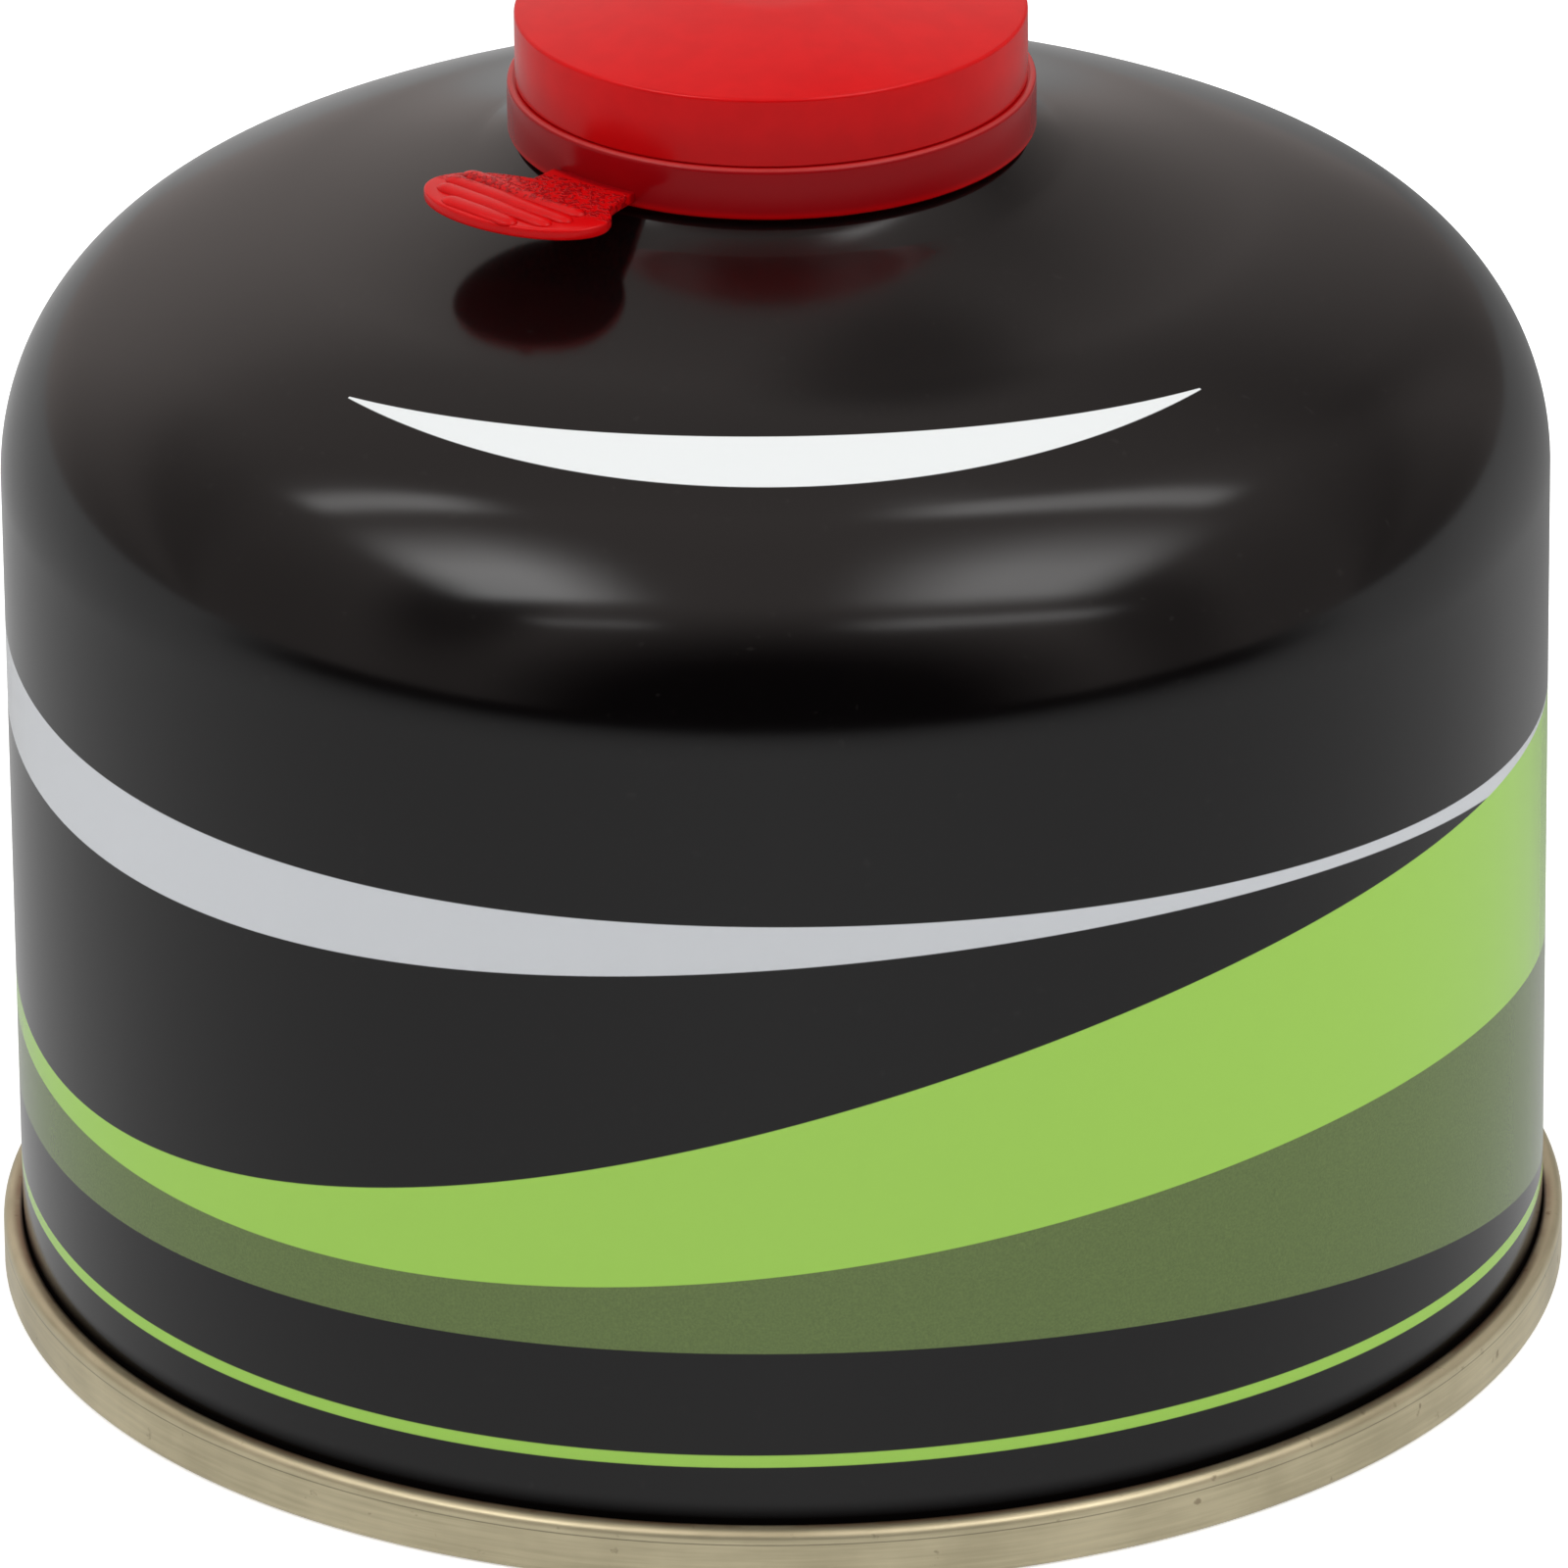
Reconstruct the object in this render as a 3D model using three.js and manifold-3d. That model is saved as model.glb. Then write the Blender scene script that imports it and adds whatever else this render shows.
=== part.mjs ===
// A self-sealing screw-valve gas cartridge of the 230 g size: a drawn steel can with a domed
// shoulder, a concave end double-seamed to its foot, a crimped valve cup with its threaded boss,
// and a moulded cap whose tear band and pull tab are one piece with it.
// Millimetres, +Z up. The origin is the centre of the plane that the seam stands on, and -Y is
// the printed front. Every height above the dome is worked out upwards from the can's profile.
import * as THREE from "three";
import { mergeVertices } from "three/addons/utils/BufferGeometryUtils.js";
import Module from "manifold-3d";

const wasm = await Module();
wasm.setup();

// Can body
const BODY_RADIUS = 53.6;
const BODY_SHEET = 0.5;
const STRAIGHT_TOP = 60;
const SHOULDER_RADIUS = 16.4;
const SHOULDER_SWEEP = 62.8;
const CROWN_RADIUS = 54;
const CROWN_SWEEP = 13;
const FLARE_RADIUS = 130;
const RISER_START_RADIUS = 20.5;
const RISER_ROUNDING = 20;
const RISER_SLOPE = 24.5;
const RISER_TOP_SLOPE = 33;
const SEAT_ROUNDING = 0.8;
const OPENING_RADIUS = 12.7;
const CURL_TUBE_RADIUS = 1.3;
const NECK_FILLET = 0.8;
const CURL_RISE = 2.43;

// Bottom end and its double seam
const SEAM_HEIGHT = 4.1;
const SEAM_LEG = 1.1;
const SEAM_FOOT = 0.9;
const SEAM_ROUNDING = 0.5;
const END_SHEET = 0.5;
const CHUCK_WALL_HEIGHT = 5;
const CHUCK_ROUNDING = 2;
const END_RISE = 6.5;

// Valve cup, its boss and what the boss holds
const CUP_SHEET = 0.5;
const CRIMP_DROP = 3.3;
const WELL_DEPTH = 4.1;
const BOSS_RADIUS = 5.55;
const BOSS_WALL = 0.8;
const BOSS_HEIGHT = 7.5;
const MOUTH_RADIUS = 3.4;
const GASKET_THICKNESS = 1.5;
const GASKET_HOLE = 1.7;
const STEM_RADIUS = 1.3;
const STEM_RECESS = 0.4;

// Cap, tear band and pull tab
const CAP_WALL = 1.2;
const BAND_STEP = 0.56;
const BAND_HEIGHT = 3.65;
const BAND_ROUNDING = 0.3;
const SKIRT_HEIGHT = 5;
const SKIRT_ROUNDING = 0.5;
const TEAR_GROOVE_HEIGHT = 0.3;
const TEAR_GROOVE_DEPTH = 0.6;
const SNAP_LIP_HEIGHT = 0.6;
const SNAP_LIP_BITE = 1.1;
const CROWN_RISE = 2.1;
const CROWN_FLAT_RADIUS = 6.5;
const SEAL_RING_WALL = 1;
const TAB_AZIMUTH = -36;
const TAB_LENGTH = 14.6;
const TAB_WIDTH = 8.2;
const TAB_REACH = 9.8;
const TAB_SHIFT = 4;
const TAB_THICKNESS = 0.8;
const TAB_LIFT = 0.4;
const TAB_CHAMFER = 0.15;
const NECK_WIDTH = 7.2;
const NECK_SHIFT = 2;
const NECK_FLARE = 1.5;
const RIB_COUNT = 4;
const RIB_PITCH = 1.4;
const RIB_HEIGHT = 0.35;
const RIB_TURN = -9;
const RIB_SHIFT = 0.5;
const RIB_BORDER = 0.3;
const RIB_END_MARGIN = 1.3;

// Running gap between touching pieces, and how finely round shapes are cut
const GAP = 0.3;
const CAN_SEGMENTS = 72;
const CAP_SEGMENTS = 64;
const VALVE_SEGMENTS = 36;
const PANEL_STEPS = 4;
const BEAD_STEPS = 6;
const ROUNDING_STEPS = 2;
const RIB_STEPS = 4;

const RED = "#c8171b";
const BLACK = "#2b292b";
const LACQUERED_STEEL = "#aea68c";
const STEEL = "#b9bbbd";

const radians = THREE.MathUtils.degToRad;

// A point of a profile: the radius and the height.
const at = (radius, height) => new THREE.Vector2(radius, height);

// Points along an arc about a centre, from one angle to another in degrees, ends included.
function arc(centreRadius, centreHeight, radius, from, to, steps) {
  return Array.from({ length: steps + 1 }, (_, i) => {
    const angle = radians(from + ((to - from) * i) / steps);
    return at(
      centreRadius + radius * Math.cos(angle),
      centreHeight + radius * Math.sin(angle),
    );
  });
}

// A sheet-metal or moulded section, turned about Z. The section runs anticlockwise, seen with
// the axis on the left, and is closed unless it starts and ends on the axis.
function turned(section, segments) {
  const onAxis = section[0].x === 0 && section.at(-1).x === 0;
  const closed = onAxis ? section : [...section, section[0]];
  return new THREE.LatheGeometry(closed, segments).rotateX(Math.PI / 2);
}

function solidOf(geometry) {
  const bare = geometry.clone();
  bare.deleteAttribute("normal");
  bare.deleteAttribute("uv");
  const merged = mergeVertices(bare, 1e-4);
  return new wasm.Manifold(
    new wasm.Mesh({
      numProp: 3,
      vertProperties: new Float32Array(merged.attributes.position.array),
      triVerts: new Uint32Array(merged.index.array),
    }),
  );
}

function geometryOf(solid) {
  const mesh = solid.getMesh();
  const positions = new Float32Array(mesh.numVert * 3);
  for (let i = 0; i < mesh.numVert; i++) {
    const first = i * mesh.numProp;
    positions.set(mesh.vertProperties.subarray(first, first + 3), i * 3);
  }
  const geometry = new THREE.BufferGeometry();
  geometry.setAttribute("position", new THREE.BufferAttribute(positions, 3));
  geometry.setIndex(new THREE.BufferAttribute(new Uint32Array(mesh.triVerts), 1));
  return geometry;
}

function piece(name, geometry, color, roughness, metalness) {
  const material = new THREE.MeshStandardMaterial({ color, roughness, metalness });
  const mesh = new THREE.Mesh(geometry, material);
  mesh.name = name;
  return mesh;
}

// A hollow arc that climbs inwards from a point, from one slope to another in degrees.
function flared(start, radius, fromSlope, toSlope, steps) {
  return arc(
    start.x + radius * Math.sin(radians(fromSlope)),
    start.y + radius * Math.cos(radians(fromSlope)),
    radius,
    270 - fromSlope,
    270 - toSlope,
    steps,
  );
}

// The can's outside from the top of its straight wall inwards: a tight shoulder arc and a wide
// crown arc tangent to it, which turns hollow towards the middle. A crease starts a steeper
// riser, and its rounded edge leads on to the flat seat that the cap stands over.
const shoulder = arc(
  BODY_RADIUS - SHOULDER_RADIUS,
  STRAIGHT_TOP,
  SHOULDER_RADIUS,
  0,
  SHOULDER_SWEEP,
  9,
);
const shoulderEnd = shoulder.at(-1);
const crown = arc(
  shoulderEnd.x - CROWN_RADIUS * Math.cos(radians(SHOULDER_SWEEP)),
  shoulderEnd.y - CROWN_RADIUS * Math.sin(radians(SHOULDER_SWEEP)),
  CROWN_RADIUS,
  SHOULDER_SWEEP,
  SHOULDER_SWEEP + CROWN_SWEEP,
  3,
);
const crownEnd = crown.at(-1);
const FLARE_SLOPE = 90 - SHOULDER_SWEEP - CROWN_SWEEP;
const FLARE_TOP_SLOPE = THREE.MathUtils.radToDeg(
  Math.asin(Math.sin(radians(FLARE_SLOPE)) + (crownEnd.x - RISER_START_RADIUS) / FLARE_RADIUS),
);
const flare = flared(crownEnd, FLARE_RADIUS, FLARE_SLOPE, FLARE_TOP_SLOPE, 3);
const riser = flared(flare.at(-1), RISER_ROUNDING, RISER_SLOPE, RISER_TOP_SLOPE, 2);
const riserEnd = riser.at(-1);
const seatEdge = arc(
  riserEnd.x - SEAT_ROUNDING * Math.sin(radians(RISER_TOP_SLOPE)),
  riserEnd.y - SEAT_ROUNDING * Math.cos(radians(RISER_TOP_SLOPE)),
  SEAT_ROUNDING,
  90 - RISER_TOP_SLOPE,
  90,
  1,
);
const dome = [shoulder, crown, flare, riser, seatEdge].flatMap((part, i) =>
  i === 0 ? part : part.slice(1),
);
const SEAT_HEIGHT = seatEdge.at(-1).y;

// The opening's wall rises from the seat and curls outwards over itself.
const NECK_RADIUS = OPENING_RADIUS + BODY_SHEET;
const CURL_CENTRE_RADIUS = OPENING_RADIUS + CURL_TUBE_RADIUS;
const CURL_CENTRE_HEIGHT = SEAT_HEIGHT + CURL_RISE;
const CURL_TOP = CURL_CENTRE_HEIGHT + CURL_TUBE_RADIUS;

// The cup's rim covers the curl, and its well hangs inside the opening.
const BEAD_RADIUS = CURL_CENTRE_RADIUS + CURL_TUBE_RADIUS + GAP + CUP_SHEET;
const BEAD_TOP = CURL_TOP + GAP + CUP_SHEET;
const CRIMP_EDGE = BEAD_TOP - CRIMP_DROP;
const WELL_RADIUS = OPENING_RADIUS - GAP;
const WELL_FLOOR = BEAD_TOP - WELL_DEPTH;
const RECESS_FLOOR = WELL_FLOOR - CUP_SHEET - GAP;
const BOSS_TOP = WELL_FLOOR + BOSS_HEIGHT;
const BOSS_BORE = BOSS_RADIUS - BOSS_WALL;

// The concave end: its panel is a shallow spherical cap inside a chuck wall.
const CHUCK_RADIUS = BODY_RADIUS - BODY_SHEET - GAP;
const PANEL_RADIUS = CHUCK_RADIUS - END_SHEET - CHUCK_ROUNDING;
const PANEL_SPHERE = (PANEL_RADIUS ** 2 + END_RISE ** 2) / (2 * END_RISE);
const PANEL_SWEEP = THREE.MathUtils.radToDeg(Math.asin(PANEL_RADIUS / PANEL_SPHERE));

// The panel's curve at a height above its lower face, from its edge to the axis.
function panelArc(offset) {
  const centre = CHUCK_WALL_HEIGHT + END_RISE - PANEL_SPHERE;
  const curve = arc(0, centre, PANEL_SPHERE + offset, 90 - PANEL_SWEEP, 90, PANEL_STEPS);
  curve.at(-1).x = 0;
  return curve;
}

// Drawn shell and what it holds, one sealed solid: straight wall, domed shoulder, neck and curl.
function canBody() {
  const lipBottom = SEAM_FOOT + GAP;
  const inside = CHUCK_RADIUS + GAP;
  const underside = panelArc(END_SHEET + GAP).reverse();
  const curl = arc(CURL_CENTRE_RADIUS, CURL_CENTRE_HEIGHT, CURL_TUBE_RADIUS, -130, 180, BEAD_STEPS + 2);
  const section = [
    ...underside,
    at(inside, underside.at(-1).y),
    at(inside, lipBottom),
    at(BODY_RADIUS, lipBottom),
    ...dome,
    at(NECK_RADIUS + NECK_FILLET, SEAT_HEIGHT),
    at(NECK_RADIUS, SEAT_HEIGHT + NECK_FILLET),
    ...curl,
    at(OPENING_RADIUS, RECESS_FLOOR),
    at(0, RECESS_FLOOR),
  ];
  return piece("can_body", turned(section, CAN_SEGMENTS), BLACK, 0.35, 0);
}

// Concave steel end: the seam's folded leg outside, its foot, the chuck wall and the panel.
function bottomEnd() {
  const seamRadius = BODY_RADIUS + GAP + SEAM_LEG;
  const chuckInner = CHUCK_RADIUS - END_SHEET;
  const roundedCorner = (radius, height, from) =>
    arc(radius, height, SEAM_ROUNDING, from, from + 90, ROUNDING_STEPS);
  const lowerFace = panelArc(0).reverse();
  const upperFace = panelArc(END_SHEET);
  const section = [
    ...lowerFace,
    ...arc(
      PANEL_RADIUS,
      lowerFace.at(-1).y - CHUCK_ROUNDING,
      CHUCK_ROUNDING,
      90,
      0,
      ROUNDING_STEPS,
    ).slice(1),
    ...roundedCorner(chuckInner + SEAM_ROUNDING, SEAM_ROUNDING, 180),
    ...roundedCorner(seamRadius - SEAM_ROUNDING, SEAM_ROUNDING, 270),
    ...roundedCorner(seamRadius - SEAM_ROUNDING, SEAM_HEIGHT - SEAM_ROUNDING, 0),
    at(seamRadius - SEAM_LEG, SEAM_HEIGHT),
    at(seamRadius - SEAM_LEG, SEAM_FOOT),
    at(CHUCK_RADIUS, SEAM_FOOT),
    ...arc(
      PANEL_RADIUS,
      lowerFace.at(-1).y - CHUCK_ROUNDING,
      CHUCK_ROUNDING + END_SHEET,
      0,
      90,
      ROUNDING_STEPS,
    ).slice(0, -1),
    ...upperFace,
  ];
  return piece("bottom_end", turned(section, CAN_SEGMENTS), LACQUERED_STEEL, 0.4, 1);
}

// Mounting cup: the crimped rim over the curl, the well, and the boss that takes the thread.
function valveCup() {
  const rimOuter = CURL_TUBE_RADIUS + GAP + CUP_SHEET;
  const rimInner = CURL_TUBE_RADIUS + GAP;
  const wellInner = WELL_RADIUS - CUP_SHEET;
  const underFloor = WELL_FLOOR - CUP_SHEET;
  const lip = BOSS_TOP - BOSS_WALL;
  const section = [
    at(BOSS_BORE, underFloor),
    at(WELL_RADIUS, underFloor),
    at(WELL_RADIUS, CURL_CENTRE_HEIGHT),
    ...arc(CURL_CENTRE_RADIUS, CURL_CENTRE_HEIGHT, rimInner, 180, 0, BEAD_STEPS).slice(1),
    at(BEAD_RADIUS - CUP_SHEET, CRIMP_EDGE),
    at(BEAD_RADIUS, CRIMP_EDGE),
    ...arc(CURL_CENTRE_RADIUS, CURL_CENTRE_HEIGHT, rimOuter, 0, 180, BEAD_STEPS),
    at(wellInner, WELL_FLOOR),
    at(BOSS_RADIUS, WELL_FLOOR),
    at(BOSS_RADIUS, BOSS_TOP - BOSS_WALL / 2),
    at(BOSS_RADIUS - BOSS_WALL / 2, BOSS_TOP),
    at(MOUTH_RADIUS, BOSS_TOP),
    at(MOUTH_RADIUS, lip),
    at(BOSS_BORE, lip),
  ];
  return piece("valve_cup", turned(section, VALVE_SEGMENTS), STEEL, 0.35, 1);
}

// Rubber face seal, held up under the boss's lip.
function valveGasket() {
  const top = BOSS_TOP - BOSS_WALL - GAP;
  const bottom = top - GASKET_THICKNESS;
  const section = [
    at(GASKET_HOLE, bottom),
    at(BOSS_BORE - GAP, bottom),
    at(BOSS_BORE - GAP, top),
    at(GASKET_HOLE, top),
  ];
  return piece("valve_gasket", turned(section, VALVE_SEGMENTS), "#202020", 0.9, 0);
}

// Valve housing and stem as one sealed unit: it backs the gasket and shows in its hole.
function valveCore() {
  const gasketTop = BOSS_TOP - BOSS_WALL - GAP;
  const shoulderHeight = gasketTop - GASKET_THICKNESS - GAP;
  const stemTop = gasketTop - STEM_RECESS;
  const section = [
    at(0, RECESS_FLOOR + GAP),
    at(BOSS_BORE - GAP, RECESS_FLOOR + GAP),
    at(BOSS_BORE - GAP, shoulderHeight),
    at(STEM_RADIUS, shoulderHeight),
    at(STEM_RADIUS, stemTop),
    at(0, stemTop),
  ];
  return piece("valve_core", turned(section, VALVE_SEGMENTS), "#d8d5c8", 0.5, 0);
}

const CAP_BOTTOM = CRIMP_EDGE - GAP - SNAP_LIP_HEIGHT;
const SKIRT_INNER = BEAD_RADIUS + GAP;
const SKIRT_RADIUS = SKIRT_INNER + CAP_WALL;
const BAND_RADIUS = SKIRT_RADIUS + BAND_STEP;
const BAND_TOP = CAP_BOTTOM + BAND_HEIGHT;
const SKIRT_TOP = BAND_TOP + SKIRT_HEIGHT;
const CAP_TOP = SKIRT_TOP + CROWN_RISE;

// The cap's shell, from under its crown outwards: a ring that seats on the crimped rim, the
// skirt, the snap lip at the foot, then the tear band, its groove and the low crown outside.
function capShell() {
  const bandInner = BAND_RADIUS - CAP_WALL;
  const lipRadius = BEAD_RADIUS - SNAP_LIP_BITE;
  const grooveRadius = SKIRT_RADIUS - TEAR_GROOVE_DEPTH;
  const crownSlope = CROWN_RISE / (SKIRT_RADIUS - SKIRT_ROUNDING - CROWN_FLAT_RADIUS);
  const crownUnder = (radius) =>
    CAP_TOP - CAP_WALL - Math.max(0, radius - CROWN_FLAT_RADIUS) * crownSlope;
  const ringInner = CURL_CENTRE_RADIUS - SEAL_RING_WALL / 2;
  const ringOuter = CURL_CENTRE_RADIUS + SEAL_RING_WALL / 2;
  const ringBottom = BEAD_TOP + GAP;
  const roundedCorner = (radius, height, rounding, from, to) =>
    arc(radius - rounding, height, rounding, from, to, ROUNDING_STEPS);
  const section = [
    at(0, crownUnder(0)),
    at(CROWN_FLAT_RADIUS, crownUnder(CROWN_FLAT_RADIUS)),
    at(ringInner, crownUnder(ringInner)),
    at(ringInner, ringBottom),
    at(ringOuter, ringBottom),
    at(ringOuter, crownUnder(ringOuter)),
    at(SKIRT_INNER, crownUnder(SKIRT_INNER)),
    at(SKIRT_INNER, BAND_TOP),
    at(bandInner, BAND_TOP - BAND_STEP),
    at(bandInner, CAP_BOTTOM + SNAP_LIP_HEIGHT),
    at(lipRadius, CAP_BOTTOM + SNAP_LIP_HEIGHT),
    at(lipRadius, CAP_BOTTOM),
    ...roundedCorner(BAND_RADIUS, CAP_BOTTOM + BAND_ROUNDING, BAND_ROUNDING, 270, 360),
    ...roundedCorner(BAND_RADIUS, BAND_TOP - BAND_ROUNDING, BAND_ROUNDING, 0, 90),
    at(grooveRadius, BAND_TOP),
    at(grooveRadius, BAND_TOP + TEAR_GROOVE_HEIGHT),
    at(SKIRT_RADIUS, BAND_TOP + TEAR_GROOVE_HEIGHT),
    ...roundedCorner(SKIRT_RADIUS, SKIRT_TOP - SKIRT_ROUNDING, SKIRT_ROUNDING, 0, 80),
    at(CROWN_FLAT_RADIUS, CAP_TOP),
    at(0, CAP_TOP),
  ];
  return solidOf(turned(section, CAP_SEGMENTS));
}

// The pull tab in its own frame: X leftwards along the tab's length, Y outwards from the band's
// face, Z up from its underside. An oval plate on a waisted neck, with a field of wave-like ribs
// that lies a little askew on it and reaches nearly to the outer rim.
function pullTab() {
  const centreY = TAB_REACH - TAB_WIDTH / 2;
  const oval = (centreX, length, width) => {
    const outline = new THREE.Shape();
    outline.absellipse(centreX, centreY, length / 2, width / 2, 0, 2 * Math.PI);
    return outline;
  };
  const chamfered = (outline) =>
    solidOf(
      new THREE.ExtrudeGeometry(outline, {
        depth: TAB_THICKNESS - 2 * TAB_CHAMFER,
        bevelThickness: TAB_CHAMFER,
        bevelSize: TAB_CHAMFER,
        bevelOffset: -TAB_CHAMFER,
        bevelSegments: 1,
        curveSegments: 14,
      }).translate(0, 0, TAB_CHAMFER),
    );

  const root = -CAP_WALL / 2;
  const leftWaist = NECK_SHIFT + NECK_WIDTH / 2;
  const rightWaist = NECK_SHIFT - NECK_WIDTH / 2;
  const neck = new THREE.Shape();
  neck.moveTo(leftWaist, root);
  neck.lineTo(leftWaist, 0);
  neck.quadraticCurveTo(leftWaist, centreY / 2, leftWaist + NECK_FLARE, centreY);
  neck.lineTo(rightWaist - NECK_FLARE, centreY);
  neck.quadraticCurveTo(rightWaist, centreY / 2, rightWaist, 0);
  neck.lineTo(rightWaist, root);

  const lastRib = TAB_WIDTH / 2 - RIB_BORDER;
  const firstRib = lastRib - RIB_COUNT * RIB_PITCH;
  const wave = new THREE.Shape();
  wave.moveTo(firstRib, 0);
  for (let i = 0; i <= RIB_COUNT * RIB_STEPS; i++) {
    const swell = 0.5 - 0.5 * Math.cos((2 * Math.PI * i) / RIB_STEPS);
    wave.lineTo(firstRib + (RIB_PITCH * i) / RIB_STEPS, TAB_THICKNESS + RIB_HEIGHT * swell);
  }
  wave.lineTo(lastRib, 0);
  const alongTab = new THREE.Matrix4().makeBasis(
    new THREE.Vector3(0, 1, 0),
    new THREE.Vector3(0, 0, 1),
    new THREE.Vector3(1, 0, 0),
  );
  const waves = solidOf(
    new THREE.ExtrudeGeometry(wave, { depth: TAB_LENGTH, bevelEnabled: false })
      .applyMatrix4(alongTab)
      .translate(-TAB_LENGTH / 2, 0, 0)
      .rotateZ(radians(RIB_TURN))
      .translate(TAB_SHIFT, centreY, 0),
  );
  const ribField = solidOf(
    new THREE.ExtrudeGeometry(
      oval(TAB_SHIFT + RIB_SHIFT, TAB_LENGTH - 2 * RIB_END_MARGIN, TAB_WIDTH - 2 * RIB_BORDER),
      { depth: TAB_THICKNESS + RIB_HEIGHT, bevelEnabled: false, curveSegments: 14 },
    ),
  );
  const plate = chamfered(oval(TAB_SHIFT, TAB_LENGTH, TAB_WIDTH));
  return plate.add(chamfered(neck)).add(waves.intersect(ribField));
}

// Cap, band and tab are one moulding.
function cap() {
  const turn = new THREE.Matrix4().makeRotationZ(Math.PI + radians(TAB_AZIMUTH));
  const place = turn.multiply(
    new THREE.Matrix4().makeTranslation(0, BAND_RADIUS, CAP_BOTTOM + TAB_LIFT),
  );
  const tab = pullTab().transform(place.elements);
  return piece("cap", geometryOf(capShell().add(tab)), RED, 0.4, 0);
}

const canister = new THREE.Group();
canister.add(canBody(), bottomEnd(), valveCup(), valveGasket(), valveCore(), cap());

export default canister;
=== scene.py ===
"""Looks of a low, round fuel canister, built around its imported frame.

The printed can, its seamed end and the moulded cap are remade as fine meshes: each half section
is drawn point by point and spun about the can's axis. Everything is in metres and in the frame's
own axes, +Z up and -Y the printed front.
"""

import logging
import math
from dataclasses import dataclass
from typing import Any, Optional, Union

import bmesh
import bpy
from mathutils import Matrix, Vector


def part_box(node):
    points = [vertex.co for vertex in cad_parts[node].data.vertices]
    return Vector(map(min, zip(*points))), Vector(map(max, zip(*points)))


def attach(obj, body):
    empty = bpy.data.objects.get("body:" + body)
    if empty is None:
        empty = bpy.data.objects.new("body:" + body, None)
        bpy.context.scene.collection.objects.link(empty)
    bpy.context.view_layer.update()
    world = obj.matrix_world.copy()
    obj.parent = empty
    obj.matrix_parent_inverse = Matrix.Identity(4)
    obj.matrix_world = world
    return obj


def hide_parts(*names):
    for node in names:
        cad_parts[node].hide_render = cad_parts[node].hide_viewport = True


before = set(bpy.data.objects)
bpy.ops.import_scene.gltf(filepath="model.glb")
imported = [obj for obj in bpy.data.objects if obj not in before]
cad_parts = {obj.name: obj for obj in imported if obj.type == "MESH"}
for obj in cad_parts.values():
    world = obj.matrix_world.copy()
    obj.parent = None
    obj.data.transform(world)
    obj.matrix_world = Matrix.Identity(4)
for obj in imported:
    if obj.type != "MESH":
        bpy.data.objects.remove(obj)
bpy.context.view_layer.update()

log = logging.getLogger("canister")

MM = 0.001
BODY = "root"
WHITE = (1.0, 1.0, 1.0)
BAND_HEIGHT = 3.65 * MM
TAB_AZIMUTH = math.radians(-36)


def scaled(colour: "Colour", share: float) -> "Colour":
    """A colour made darker or lighter."""
    red, green, blue = colour
    return red * share, green * share, blue * share


class Signal:
    """A number on a shader socket, with arithmetic that adds Math nodes to its board."""

    def __init__(self, board: "Board", socket: bpy.types.NodeSocket) -> None:
        """Wraps a socket of a node on the board."""
        self.board = board
        self.socket = socket

    def __add__(self, other: "Term") -> "Signal":
        """Sum of two numbers."""
        return self.board.maths("ADD", self, other)

    def __sub__(self, other: "Term") -> "Signal":
        """Difference of two numbers."""
        return self.board.maths("SUBTRACT", self, other)

    def __mul__(self, other: "Term") -> "Signal":
        """Product of two numbers."""
        return self.board.maths("MULTIPLY", self, other)

    def __truediv__(self, other: "Term") -> "Signal":
        """Quotient of two numbers."""
        return self.board.maths("DIVIDE", self, other)

    def __radd__(self, other: float) -> "Signal":
        """Sum with a plain number on the left."""
        return self.board.maths("ADD", other, self)

    def __rsub__(self, other: float) -> "Signal":
        """Difference from a plain number."""
        return self.board.maths("SUBTRACT", other, self)

    def __rmul__(self, other: float) -> "Signal":
        """Product with a plain number on the left."""
        return self.board.maths("MULTIPLY", other, self)

    def __abs__(self) -> "Signal":
        """Size of the number, whatever its sign."""
        return self.board.maths("ABSOLUTE", self)

    def __gt__(self, other: "Term") -> "Signal":
        """One where this number is the greater, else nothing."""
        return self.board.maths("GREATER_THAN", self, other)

    def __lt__(self, other: "Term") -> "Signal":
        """One where this number is the smaller, else nothing."""
        return self.board.maths("LESS_THAN", self, other)


Term = Union[Signal, float]
Colour = tuple[float, float, float]
Inputs = dict[Union[str, int], Any]


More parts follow.
